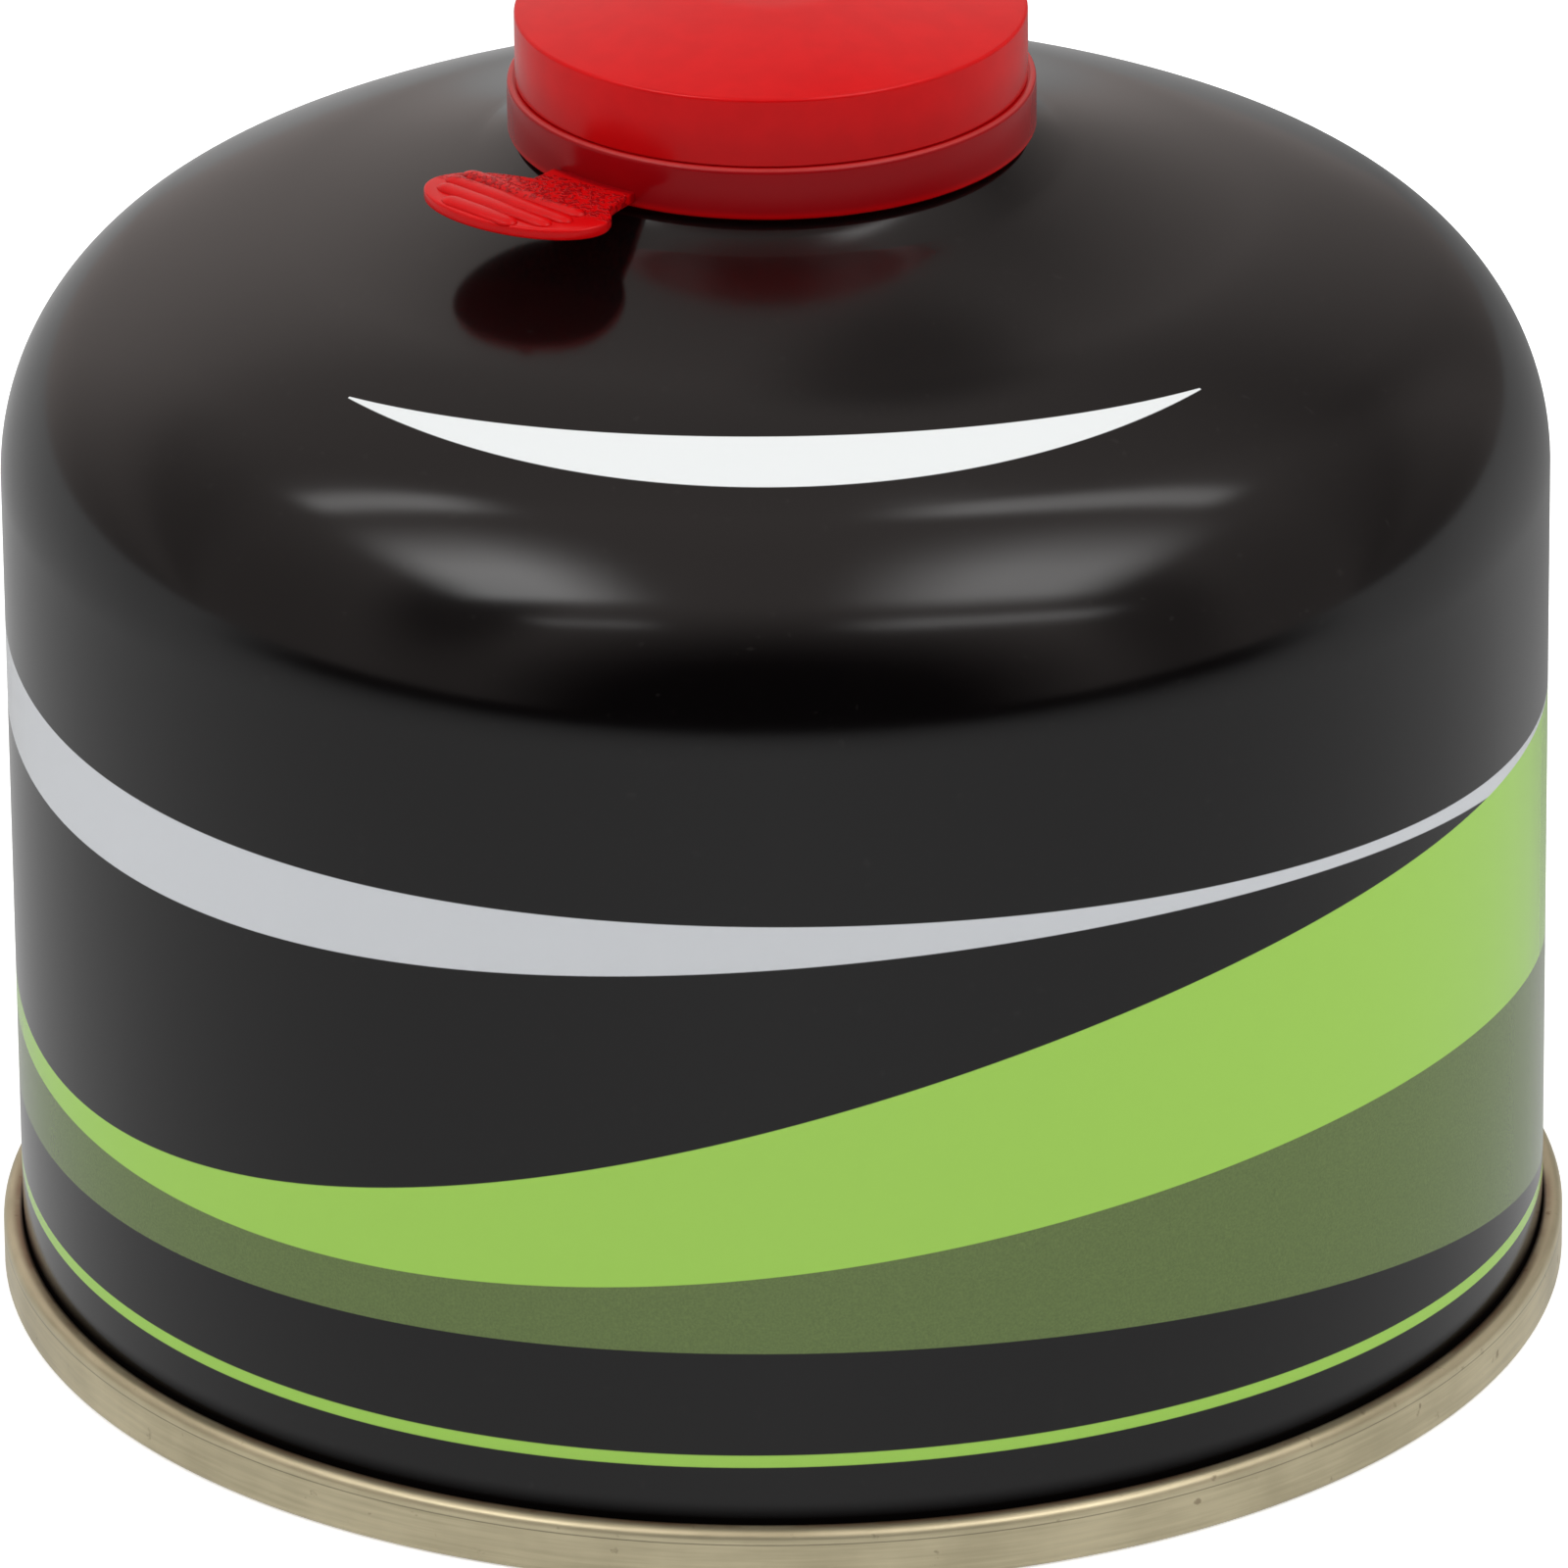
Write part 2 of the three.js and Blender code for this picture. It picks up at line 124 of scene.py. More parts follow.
class Board:
    """A node tree, with one method that adds any node and a few for the common ones."""

    def __init__(self, tree: bpy.types.NodeTree) -> None:
        """Clears the tree and takes it over."""
        self.tree = tree
        tree.nodes.clear()

    def node(
        self,
        kind: str,
        settings: Optional[dict[str, Any]] = None,
        inputs: Optional[Inputs] = None,
    ) -> bpy.types.Node:
        """Adds a node, sets its properties, and then the values or links of its sockets.

        Args:
            kind: Blender's name for the node's type.
            settings: properties of the node, such as a Math node's operation.
            inputs: values, sockets or signals, by socket name or number.

        Returns:
            The new node.
        """
        made = self.tree.nodes.new(kind)
        for key, value in (settings or {}).items():
            setattr(made, key, value)
        self.feed(made, inputs or {})
        return made

    def feed(self, node: bpy.types.Node, inputs: Inputs) -> None:
        """Sets or links the sockets of a node.

        Args:
            node: the node that is fed.
            inputs: values, sockets or signals, by socket name or number.
        """
        for key, value in inputs.items():
            socket = node.inputs[key]
            if isinstance(value, Signal):
                value = value.socket
            if isinstance(value, bpy.types.NodeSocket):
                self.tree.links.new(value, socket)
            elif isinstance(value, tuple) and len(value) == 3 and socket.type == "RGBA":
                socket.default_value = (*value, 1)
            else:
                socket.default_value = value

    def maths(self, operation: str, *terms: Term) -> Signal:
        """Adds a Math node.

        Args:
            operation: the node's operation.
            terms: its inputs in order, as signals or numbers.

        Returns:
            The signal of its result.
        """
        made = self.node("ShaderNodeMath", {"operation": operation}, dict(enumerate(terms)))
        return Signal(self, made.outputs[0])

    def clamp(self, value: Term) -> Signal:
        """The number held between nothing and one."""
        return Signal(self, self.node("ShaderNodeClamp", None, {"Value": value}).outputs[0])

    def length(self, x: Signal, y: Signal) -> Signal:
        """Length of a flat vector."""
        return self.maths("SQRT", x * x + y * y)

    def ramp(self, value: Term, low: float, high: float) -> Signal:
        """A step with soft ends, from nothing at low to one at high.

        Args:
            value: the number that is read.
            low: where the step starts.
            high: where the step ends.

        Returns:
            The signal of the step.
        """
        made = self.node(
            "ShaderNodeMapRange",
            {"interpolation_type": "SMOOTHSTEP"},
            {"Value": value, "From Min": low, "From Max": high},
        )
        return Signal(self, made.outputs[0])

    def place(self) -> bpy.types.NodeSocket:
        """The place on the object, in metres."""
        return self.node("ShaderNodeTexCoord").outputs["Object"]

    def parts(self, vector: bpy.types.NodeSocket, unit: float = 1.0) -> tuple[Signal, Signal, Signal]:
        """The three numbers of a vector.

        Args:
            vector: the vector's socket.
            unit: what the numbers are counted in.

        Returns:
            The signals of its X, Y and Z.
        """
        split = self.node("ShaderNodeSeparateXYZ", None, {0: vector})
        x, y, z = (Signal(self, out) * (1 / unit) for out in split.outputs)
        return x, y, z

    def rays(self) -> tuple[Signal, Signal]:
        """Tells rays from the camera apart from rays from gloss or through glass.

        Returns:
            The signals of the two, each one or nothing.
        """
        path = self.node("ShaderNodeLightPath")
        names = ("Is Camera Ray", "Is Glossy Ray", "Is Transmission Ray")
        camera, glossy, through = (Signal(self, path.outputs[name]) for name in names)
        return camera, self.clamp(glossy + through)

    def noise(
        self, where: bpy.types.NodeSocket, size: float, detail: float, stretch: float = 1.0
    ) -> Signal:
        """Even noise around a half.

        Args:
            where: the place on the object, in metres.
            size: width of its largest blots, in metres.
            detail: how many finer layers it has.
            stretch: how many times longer the blots are on the level than upright.

        Returns:
            The signal of the noise.
        """
        level, upright = 1 / size / stretch, 1 / size
        mapped = self.node("ShaderNodeMapping", None, {"Vector": where, "Scale": (level, level, upright)})
        made = self.node(
            "ShaderNodeTexNoise", None, {"Vector": mapped.outputs[0], "Scale": 1.0, "Detail": detail}
        )
        return Signal(self, made.outputs["Fac"])

    def mix(self, factor: Term, below: Any, above: Any) -> bpy.types.NodeSocket:
        """One colour laid over another.

        Args:
            factor: how much of the upper colour shows.
            below: colour or socket of the ground.
            above: colour or socket of what lies over it.

        Returns:
            The socket of the mixed colour.
        """
        made = self.node(
            "ShaderNodeMix", {"data_type": "RGBA"}, {"Factor": factor, 6: below, 7: above}
        )
        return made.outputs[2]

    def bump(self, height: Term, depth: float) -> bpy.types.NodeSocket:
        """A normal that is bent by a height.

        Args:
            height: the height, from nothing to one.
            depth: how deep one is, in metres.

        Returns:
            The socket of the bent normal.
        """
        made = self.node("ShaderNodeBump", None, {"Strength": 1.0, "Distance": depth, "Height": height})
        return made.outputs[0]


@dataclass(frozen=True)
class Fade:
    """A soft step: an amount that comes in between two values of what is read."""

    amount: float
    start: float
    end: float

    def at(self, board: Board, value: Term) -> Signal:
        """What of the amount has come in at a value."""
        return board.ramp(value, self.start, self.end) * self.amount


SUBSURFACE_SPREAD = (1.0, 0.12, 0.08)
SUBSURFACE_REACH = 1.2 * MM


@dataclass(frozen=True)
class Finish:
    """A surface finish: its name and what is the same all over it."""

    name: str
    colour: Colour
    roughness: float
    metallic: float = 0.0
    ior: float = 1.5
    subsurface: float = 0.0

    def material(self) -> bpy.types.Material:
        """Makes the material, and paints on it what varies.

        Returns:
            The new material.
        """
        made = bpy.data.materials.new(self.name)
        made.use_nodes = True
        board = Board(made.node_tree)
        shader = board.node(
            "ShaderNodeBsdfPrincipled",
            None,
            {
                "Base Color": self.colour,
                "Roughness": self.roughness,
                "Metallic": self.metallic,
                "IOR": self.ior,
                "Subsurface Weight": self.subsurface,
                "Subsurface Radius": SUBSURFACE_SPREAD,
                "Subsurface Scale": SUBSURFACE_REACH,
            },
        )
        surface = self.paint(board, shader)
        board.node("ShaderNodeOutputMaterial", None, {"Surface": surface})
        return made

    def paint(self, board: Board, shader: bpy.types.Node) -> bpy.types.NodeSocket:
        """Varies the shader over the surface; a plain finish is slightly cloudy in colour and gloss.

        Args:
            board: the material's nodes.
            shader: the shader whose sockets are painted.

        Returns:
            The socket of the finished surface.
        """
        cloud = board.noise(board.place(), 3 * MM, 4)
        colour = board.mix(cloud, scaled(self.colour, 0.8), self.colour)
        board.feed(shader, {"Base Color": colour, "Roughness": self.roughness + (cloud - 0.5) * 0.1})
        return shader.outputs[0]


@dataclass(frozen=True)
class Wave:
    """A ribbon's edge round the can: its mean height, and a swing once and one twice round."""

    base: float
    swing: float
    start: float
    second_swing: float
    second_start: float

    def height(self, board: Board, turn: Signal) -> Signal:
        """Height of the edge at an angle round the can.

        Args:
            board: the material's nodes.
            turn: the angle, in radians, nothing at the front.

        Returns:
            The signal of the height, in millimetres.
        """
        once = board.maths("SINE", turn + self.start) * self.swing
        twice = board.maths("SINE", turn * 2 + self.second_start) * self.second_swing
        return once + twice + self.base


@dataclass(frozen=True)
class Print(Finish):
    """Glossy black ground with flat fields: pale and green ribbons that run round the can."""

    pale: Colour = (0.56, 0.575, 0.60)
    dome_pale: Colour = (0.74, 0.76, 0.76)
    green: Colour = (0.325, 0.58, 0.085)
    olive: Colour = (0.115, 0.165, 0.05)
    speck: Colour = (0.02, 0.018, 0.017)
    # painted shade: the black of the matt shader that darkens the wall just above the seam
    seam_shade_black: Colour = (0.002, 0.0015, 0.0015)
    green_top: Wave = Wave(35.5, 10.5, -0.35, 3.0, 0.6)
    green_foot: Wave = Wave(21.5, 3.0, 0.9, 2.5, -0.5)
    olive_foot: Wave = Wave(12.0, 5.5, 2.3, 2.0, 0.4)
    pale_top: Wave = Wave(48.5, -3.5, 0.5, 2.0, 0.9)
    pale_foot: Wave = Wave(44.0, -1.5, 0.1, 3.0, 0.5)
    hair_line: Wave = Wave(7.6, 1.2, 2.6, 0.8, 0.2)
    hair_width: float = 0.9
    edge: float = 0.05
    dome_foot: float = 70.0
    arc_radius: float = 40.5
    arc_width: float = 4.4
    arc_reach: float = 0.80
    arc_tip: float = 0.03
    screen_size: float = 0.16
    speck_size: float = 0.5
    cloud_size: float = 22
    peel_size: float = 1.6
    peel_depth: float = 0.0012
    specks: Fade = Fade(0.25, 0.78, 0.84)
    # painted shade: how the matt black comes in, by height in millimetres above the ground
    seam_shade: Fade = Fade(1.0, 5.9, 4.3)

    def between(self, board: Board, value: Signal, low: Term, high: Term) -> Signal:
        """One where the value lies between two edges, with a hair of softness.

        Args:
            board: the material's nodes.
            value: the number that is read.
            low: the lower edge.
            high: the upper edge.

        Returns:
            The signal, one between the edges.
        """
        above = board.ramp(value - low, -self.edge, self.edge)
        below = board.ramp(value - high, self.edge, -self.edge)
        return above * below

    def arc(self, board: Board, turn: Signal, radius: Signal, height: Signal) -> Signal:
        """One on the pale arc on the dome, which tapers to both tips.

        Args:
            board: the material's nodes.
            turn: angle round the can, in radians, nothing at the front.
            radius: distance from the can's axis, in millimetres.
            height: height above the ground, in millimetres.

        Returns:
            The signal of the arc.
        """
        reached = board.clamp(abs(turn) / self.arc_reach)
        taper = board.maths("COSINE", reached * (math.pi / 2))
        half = taper * (self.arc_width / 2)
        inside = self.between(board, radius, self.arc_radius - half, self.arc_radius + half)
        return inside * (height > self.dome_foot) * (taper > self.arc_tip)

    def fields(self, board: Board, where: bpy.types.NodeSocket) -> bpy.types.NodeSocket:
        """Lays the fields of colour over the black ground.

        Args:
            board: the material's nodes.
            where: the place on the can, in metres.

        Returns:
            The socket of the colour.
        """
        x, y, z = board.parts(where, MM)
        turn = board.maths("ARCTAN2", x, y * -1.0)
        radius = board.length(x, y)
        green_foot = self.green_foot.height(board, turn)
        hair_line = self.hair_line.height(board, turn)
        pale = self.between(board, z, self.pale_foot.height(board, turn), self.pale_top.height(board, turn))
        olive = self.between(board, z, self.olive_foot.height(board, turn), green_foot)
        green = self.between(board, z, green_foot, self.green_top.height(board, turn))
        thin = self.between(board, z, hair_line, hair_line + self.hair_width)
        screen = board.noise(where, self.screen_size * MM, 1)
        grainy_olive = board.mix(screen, scaled(self.olive, 0.72), scaled(self.olive, 1.22))
        specks = self.specks.at(board, board.noise(where, self.speck_size * MM, 0))

        colour = board.mix(specks, self.colour, self.speck)
        colour = board.mix(pale, colour, self.pale)
        colour = board.mix(olive, colour, grainy_olive)
        colour = board.mix(green, colour, self.green)
        colour = board.mix(thin, colour, self.green)
        return board.mix(self.arc(board, turn, radius, z), colour, self.dome_pale)

    def paint(self, board: Board, shader: bpy.types.Node) -> bpy.types.NodeSocket:
        """Gives the print its fields, its gloss with a faint peel, and painted shade at the seam: a matt
        black that comes in towards the seam.

        Args:
            board: the material's nodes.
            shader: the shader whose sockets are painted.

        Returns:
            The socket of the finished surface.
        """
        where = board.place()
        height = board.parts(where, MM)[2]
        cloud = board.noise(where, self.cloud_size * MM, 3)
        peel = board.noise(where, self.peel_size * MM, 1)
        board.feed(
            shader,
            {
                "Base Color": self.fields(board, where),
                "Roughness": self.roughness - 0.02 + cloud * 0.05,
                "Normal": board.bump(peel, self.peel_depth * MM),
            },
        )
        # painted shade: the print turns to matt black over the last millimetres above the seam
        seam_shade = self.seam_shade.at(board, height)
        matt = board.node("ShaderNodeBsdfDiffuse", None, {"Color": self.seam_shade_black})
        both = board.node("ShaderNodeMixShader", None, {0: seam_shade, 1: shader.outputs[0], 2: matt.outputs[0]})
        return both.outputs[0]


@dataclass(frozen=True)
class Tinplate(Finish):
    """Lacquered tinplate: satin, with faint marks along the rolling and small stains."""

    shade: Colour = (0.48, 0.42, 0.27)
    stain: Colour = (0.16, 0.10, 0.06)
    scored: Colour = (0.10, 0.085, 0.06)
    # brown laid in blots over the seam's top face, browner towards the can
    brown_rim: Colour = (0.22, 0.11, 0.055)
    # painted shade: the near-black laid where the seam's top meets the can, in the crease between them
    crease_shade: Colour = (0.03, 0.018, 0.012)
    line_height: float = 3.2
    edge_radius: float = 54.72
    hem_foot: float = 3.0
    hem_radius: float = 53.2
    blot_size: float = 9
    streak_size: float = 0.35
    streak_length: float = 22
    spot_size: float = 1.3
    line: Fade = Fade(1.0, 0.08, 0.0)
    spots: Fade = Fade(1.0, 0.66, 0.76)
    cloudy: Fade = Fade(1.0, 0.3, 0.7)
    brown_rim_edge: Fade = Fade(0.85, 54.55, 53.9)
    brown_rim_blots: Fade = Fade(1.0, 0.3, 0.6)
    crease_shade_edge: Fade = Fade(1.0, 53.96, 53.72)
    relief_depth: float = 0.012

    def paint(self, board: Board, shader: bpy.types.Node) -> bpy.types.NodeSocket:
        """Draws the rolling marks, the scored line at the seam's bend, the stains, a brown rim on the seam's
        top and painted shade in the crease against the can.

        Args:
            board: the material's nodes.
            shader: the shader whose sockets are painted.

        Returns:
            The socket of the finished surface.
        """
        where = board.place()
        x, y, z = board.parts(where, MM)
        radius = board.length(x, y)
        blots = board.noise(where, self.blot_size * MM, 4)
        streaks = board.noise(where, self.streak_size * MM, 3, self.streak_length)
        spots = self.spots.at(board, board.noise(where, self.spot_size * MM, 3))
        line = self.line.at(board, abs(z - self.line_height)) * (radius > self.edge_radius)
        hem = (z > self.hem_foot) * (radius > self.hem_radius)
        # painted shade: dark in the crease where the seam's top meets the can wall
        crease_shade_mask = hem * self.crease_shade_edge.at(board, radius)
        # brown in blots on the seam's top face, coming in towards the can wall
        brown_rim = hem * self.brown_rim_edge.at(board, radius) * self.brown_rim_blots.at(board, blots)

        colour = board.mix(self.cloudy.at(board, blots * 0.6 + streaks * 0.4), self.shade, self.colour)
        colour = board.mix(spots * 0.5, colour, self.stain)
        colour = board.mix(line * 0.55, colour, self.scored)
        colour = board.mix(brown_rim, colour, self.brown_rim)
        colour = board.mix(crease_shade_mask * (0.75 + 0.25 * streaks), colour, self.crease_shade)
        relief = streaks * 0.5 + blots * 0.5 - line
        board.feed(
            shader,
            {
                "Base Color": colour,
                "Roughness": self.roughness - 0.07 + streaks * 0.12 + spots * 0.15,
                "Normal": board.bump(relief, self.relief_depth * MM),
            },
        )
        return shader.outputs[0]


@dataclass(frozen=True)
class Moulded(Finish):
    """Red polyethylene, satin, with a dotted grain on the pull tab's neck, painted shade on the tear band and
    the skirt above it, and a painted highlight on the ledge over the band.
    """

    deep: Colour = (0.38, 0.0, 0.001)
    # painted shade: the dark red of the tear band, which also tints the grain's dots
    band: Colour = (0.26, 0.0, 0.002)
    # painted highlight: the pink of the ledge over the tear band
    ledge_highlight: Colour = (0.80, 0.17, 0.16)
    band_foot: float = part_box("cap")[0].z / MM
    band_top: float = (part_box("cap")[0].z + BAND_HEIGHT) / MM
    ledge_radius: float = 17.75
    tab_top: float = 2.2
    cloud_size: float = 2.2
    fine_size: float = 0.22
    dot_size: float = 0.32
    cloudy: Fade = Fade(0.2, 0.3, 0.7)
    wall: Fade = Fade(1.0, 18.9, 18.4)
    shade_above_band: Fade = Fade(0.6, 3.6, 0.0)
    below_band_top: Fade = Fade(1.0, 0.1, -0.2)
    # the band's painted shade fades out at its foot, leaving a painted bright line there
    above_foot: Fade = Fade(1.0, 0.15, 0.7)
    ledge_highlight_fade: Fade = Fade(0.25, -0.14, -0.03)
    neck_start: Fade = Fade(1.0, 18.6, 19.0)
    neck_end: Fade = Fade(1.0, 23.7, 23.2)
    dots: Fade = Fade(1.0, 0.46, 0.60)
    relief_depth: float = 0.06

    def grain(self, board: Board, where: bpy.types.NodeSocket) -> Signal:
        """The dots of the spark-eroded grain on the pull tab's neck.

        Args:
            board: the material's nodes.
            where: the place on the cap, in metres.

        Returns:
            The signal of the dots, one on a dot.
        """
        x, y, z = board.parts(where, MM)
        out = x * math.sin(TAB_AZIMUTH) - y * math.cos(TAB_AZIMUTH)
        neck = self.neck_start.at(board, out) * self.neck_end.at(board, out)
        neck = neck * (z < self.band_foot + self.tab_top)
        return neck * self.dots.at(board, board.noise(where, self.dot_size * MM, 3))

    def paint(self, board: Board, shader: bpy.types.Node) -> bpy.types.NodeSocket:
        """Paints shade on the tear band and the skirt above it, a highlight on the ledge and a bright line
        along the band's foot, and grains the neck.

        Args:
            board: the material's nodes.
            shader: the shader whose sockets are painted.

        Returns:
            The socket of the finished surface.
        """
        where = board.place()
        x, y, z = board.parts(where, MM)
        radius = board.length(x, y)
        over_band = z - self.band_top
        wall = self.wall.at(board, radius)
        # painted shade on the tear band, left off at its foot so that a painted bright line runs there
        band_shade_mask = wall * self.below_band_top.at(board, over_band)
        band_shade_mask = band_shade_mask * self.above_foot.at(board, z - self.band_foot)
        # painted highlight: pink along the ledge on top of the tear band
        ledge_highlight_mask = wall * (radius > self.ledge_radius) * self.ledge_highlight_fade.at(board, over_band)
        cloud = board.noise(where, self.cloud_size * MM, 3)
        fine = board.noise(where, self.fine_size * MM, 2)
        grain = self.grain(board, where)

        colour = board.mix(self.cloudy.at(board, cloud), self.colour, self.deep)
        colour = board.mix(wall * self.shade_above_band.at(board, over_band), colour, self.deep)
        colour = board.mix(band_shade_mask, colour, self.band)
        colour = board.mix(ledge_highlight_mask, colour, self.ledge_highlight)
        colour = board.mix(grain * 0.85, colour, self.band)
        relief = fine * 0.02 + cloud * 0.05 + grain
        board.feed(
            shader,
            {
                "Base Color": colour,
                "Roughness": self.roughness - 0.03 + fine * 0.06,
                "Normal": board.bump(relief, self.relief_depth * MM),
            },
        )
        return shader.outputs[0]


PRINT = Print("printed_lacquer", (0.0018, 0.0013, 0.0014), roughness=0.13, ior=1.47)
TINPLATE = Tinplate("lacquered_tinplate", (0.68, 0.60, 0.40), roughness=0.38, metallic=0.7)
CAP_RED = Moulded("red_polyethylene", (0.575, 0.001, 0.002), roughness=0.23, ior=1.29, subsurface=0.10)
CUP_STEEL = Finish("drawn_steel", (0.62, 0.62, 0.63), roughness=0.3, metallic=1.0)
RUBBER = Finish("seal_rubber", (0.02, 0.02, 0.02), roughness=0.8)
VALVE_PLASTIC = Finish("valve_plastic", (0.72, 0.69, 0.62), roughness=0.5)


class Section:
    """A half section in the XZ plane, drawn from its first point on and then spun about Z."""

    def __init__(self, radius: float, height: float) -> None:
        """Starts the section at a radius and a height.

        Args:
            radius: the first point's radius from the axis.
            height: the first point's height.
        """
        self.mesh = bmesh.new()
        self.tip = self.mesh.verts.new((radius, 0, height))
        self.start = self.tip

    def to(self, radius: float, height: float) -> "Section":
        """Draws a straight line on to a radius and a height.

        Args:
            radius: the next point's radius from the axis.
            height: the next point's height.

        Returns:
            The section itself.
        """
        grown = bmesh.ops.extrude_vert_indiv(self.mesh, verts=[self.tip])
        self.tip = grown["verts"][0]
        self.tip.co = (radius, 0, height)
        return self

    def turn(self, radius: float, height: float, degrees: float, steps: int) -> "Section":
        """Draws an arc about a centre.

        Args:
            radius: the centre's radius from the axis.
            height: the centre's height.
            degrees: how far the arc goes, anticlockwise with the axis on the left.
            steps: how many edges it has.

        Returns:
            The section itself.
        """
        grown = bmesh.ops.spin(
            self.mesh,
            geom=[self.tip],
            cent=(radius, 0, height),
            axis=(0, -1, 0),
            angle=math.radians(degrees),
            steps=steps,
            use_merge=False,
        )
        self.tip = next(v for v in grown["geom_last"] if isinstance(v, bmesh.types.BMVert))
        return self

    def bend(self, radius: float, start: float, end: float, steps: int) -> "Section":
        """Draws an arc that climbs inwards from one slope to another.

        Args:
            radius: the arc's radius; it bulges where the slope falls and is hollow where it grows.
            start: the slope at the tip, in degrees from level.
            end: the slope at the arc's end.
            steps: how many edges it has.

        Returns:
            The section itself.
        """
        side = radius if start < end else -radius
        slope = math.radians(start)
        centre = self.tip.co + side * Vector((math.sin(slope), 0, math.cos(slope)))
        return self.turn(centre.x, centre.z, start - end, steps)

    def close(self) -> "Section":
        """Draws the last line back to the first point."""
        self.mesh.edges.new((self.tip, self.start))
        return self

    def spun(self, segments: int) -> bmesh.types.BMesh:
        """Spins the section a full turn.

        Args:
            segments: how many steps the turn has.

        Returns:
            The closed mesh, with its faces pointing out.
        """
        mesh = self.mesh
        bmesh.ops.spin(
            mesh,
            geom=mesh.verts[:] + mesh.edges[:],
            cent=(0, 0, 0),
            axis=(0, 0, 1),
            angle=2 * math.pi,
            steps=segments,
            use_merge=True,
        )
        bmesh.ops.remove_doubles(mesh, verts=mesh.verts[:], dist=1e-6)
        bmesh.ops.recalc_face_normals(mesh, faces=mesh.faces[:])
        return mesh


def finish_piece(
    mesh: bmesh.types.BMesh, name: str, finish: Finish, slot: str, *nodes: str, sharp: float = 30
) -> bpy.types.Object:
    """Makes a finished piece of a mesh and hides the frame's nodes that it stands for.

    Args:
        mesh: the modelled mesh, which is used up.
        name: the piece's name.
        finish: its surface.
        slot: not used.
        nodes: the frame's nodes that it stands for.
        sharp: the angle in degrees past which an edge is drawn sharp.

    Returns:
        The piece's object.
    """
    data = bpy.data.meshes.new(name)
    mesh.to_mesh(data)
    mesh.free()
    data.shade_smooth()
    data.set_sharp_from_angle(angle=math.radians(sharp))
    data.materials.append(finish.material())
    piece = bpy.data.objects.new(name, data)
    bpy.context.scene.collection.objects.link(piece)
    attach(piece, BODY)
    if nodes:
        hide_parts(*nodes)
    return piece


@dataclass
class Can:
    """The drawn shell: straight wall, tight shoulder, wide crown, riser, seat, neck and curl."""

    radius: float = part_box("can_body")[1].x
    foot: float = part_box("can_body")[0].z
    straight_top: float = 60 * MM
    shoulder_radius: float = 16.4 * MM
    shoulder_slope: float = 27.2
    crown_radius: float = 54 * MM
    crown_slope: float = 14.2
    flare_radius: float = 130 * MM
    riser_start: float = 20.5 * MM
    riser_rounding: float = 20 * MM
    riser_slope: float = 24.5
    riser_top_slope: float = 33
    seat_rounding: float = 0.8 * MM
    opening_radius: float = 12.7 * MM
    sheet: float = 0.5 * MM
    neck_fillet: float = 0.8 * MM
    curl_radius: float = 1.3 * MM
    curl_rise: float = 2.43 * MM
    curl_start: float = -130
    curl_sweep: float = 310
    floor_height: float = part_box("valve_cup")[0].z - 0.3 * MM
    panel_rim: float = 5.8 * MM
    panel_centre: float = 12.3 * MM
    segments: int = 288

    def build(self) -> bpy.types.Object:
        """Draws and spins the section, and dresses it in its print.

        Returns:
            The can's object.
        """
        neck = self.opening_radius + self.sheet
        inner = self.radius - self.sheet
        panel_rise = self.panel_centre - self.panel_rim

        section = Section(0, self.panel_centre)
        section.to(inner / 2, self.panel_centre - panel_rise / 4)
        section.to(inner, self.panel_rim).to(inner, self.foot).to(self.radius, self.foot)
        section.to(self.radius, self.straight_top)
        section.bend(self.shoulder_radius, 90, self.shoulder_slope, 40)
        section.bend(self.crown_radius, self.shoulder_slope, self.crown_slope, 16)
        climb = math.sin(math.radians(self.crown_slope))
        climb += (section.tip.co.x - self.riser_start) / self.flare_radius
        section.bend(self.flare_radius, self.crown_slope, math.degrees(math.asin(climb)), 14)
        section.bend(self.riser_rounding, self.riser_slope, self.riser_top_slope, 8)
        section.bend(self.seat_rounding, self.riser_top_slope, 0, 5)
        seat = section.tip.co.z
        section.to(neck + self.neck_fillet, seat)
        section.turn(neck + self.neck_fillet, seat + self.neck_fillet, -90, 5)
        curl_centre = self.opening_radius + self.curl_radius
        curl_height = seat + self.curl_rise
        start = math.radians(self.curl_start)
        section.to(
            curl_centre + self.curl_radius * math.cos(start),
            curl_height + self.curl_radius * math.sin(start),
        )
        section.turn(curl_centre, curl_height, self.curl_sweep, 20)
        section.to(self.opening_radius, self.floor_height).to(0, self.floor_height)
        mesh = section.spun(self.segments)
        return finish_piece(mesh, "can_shell", PRINT, "printed_can", "can_body")


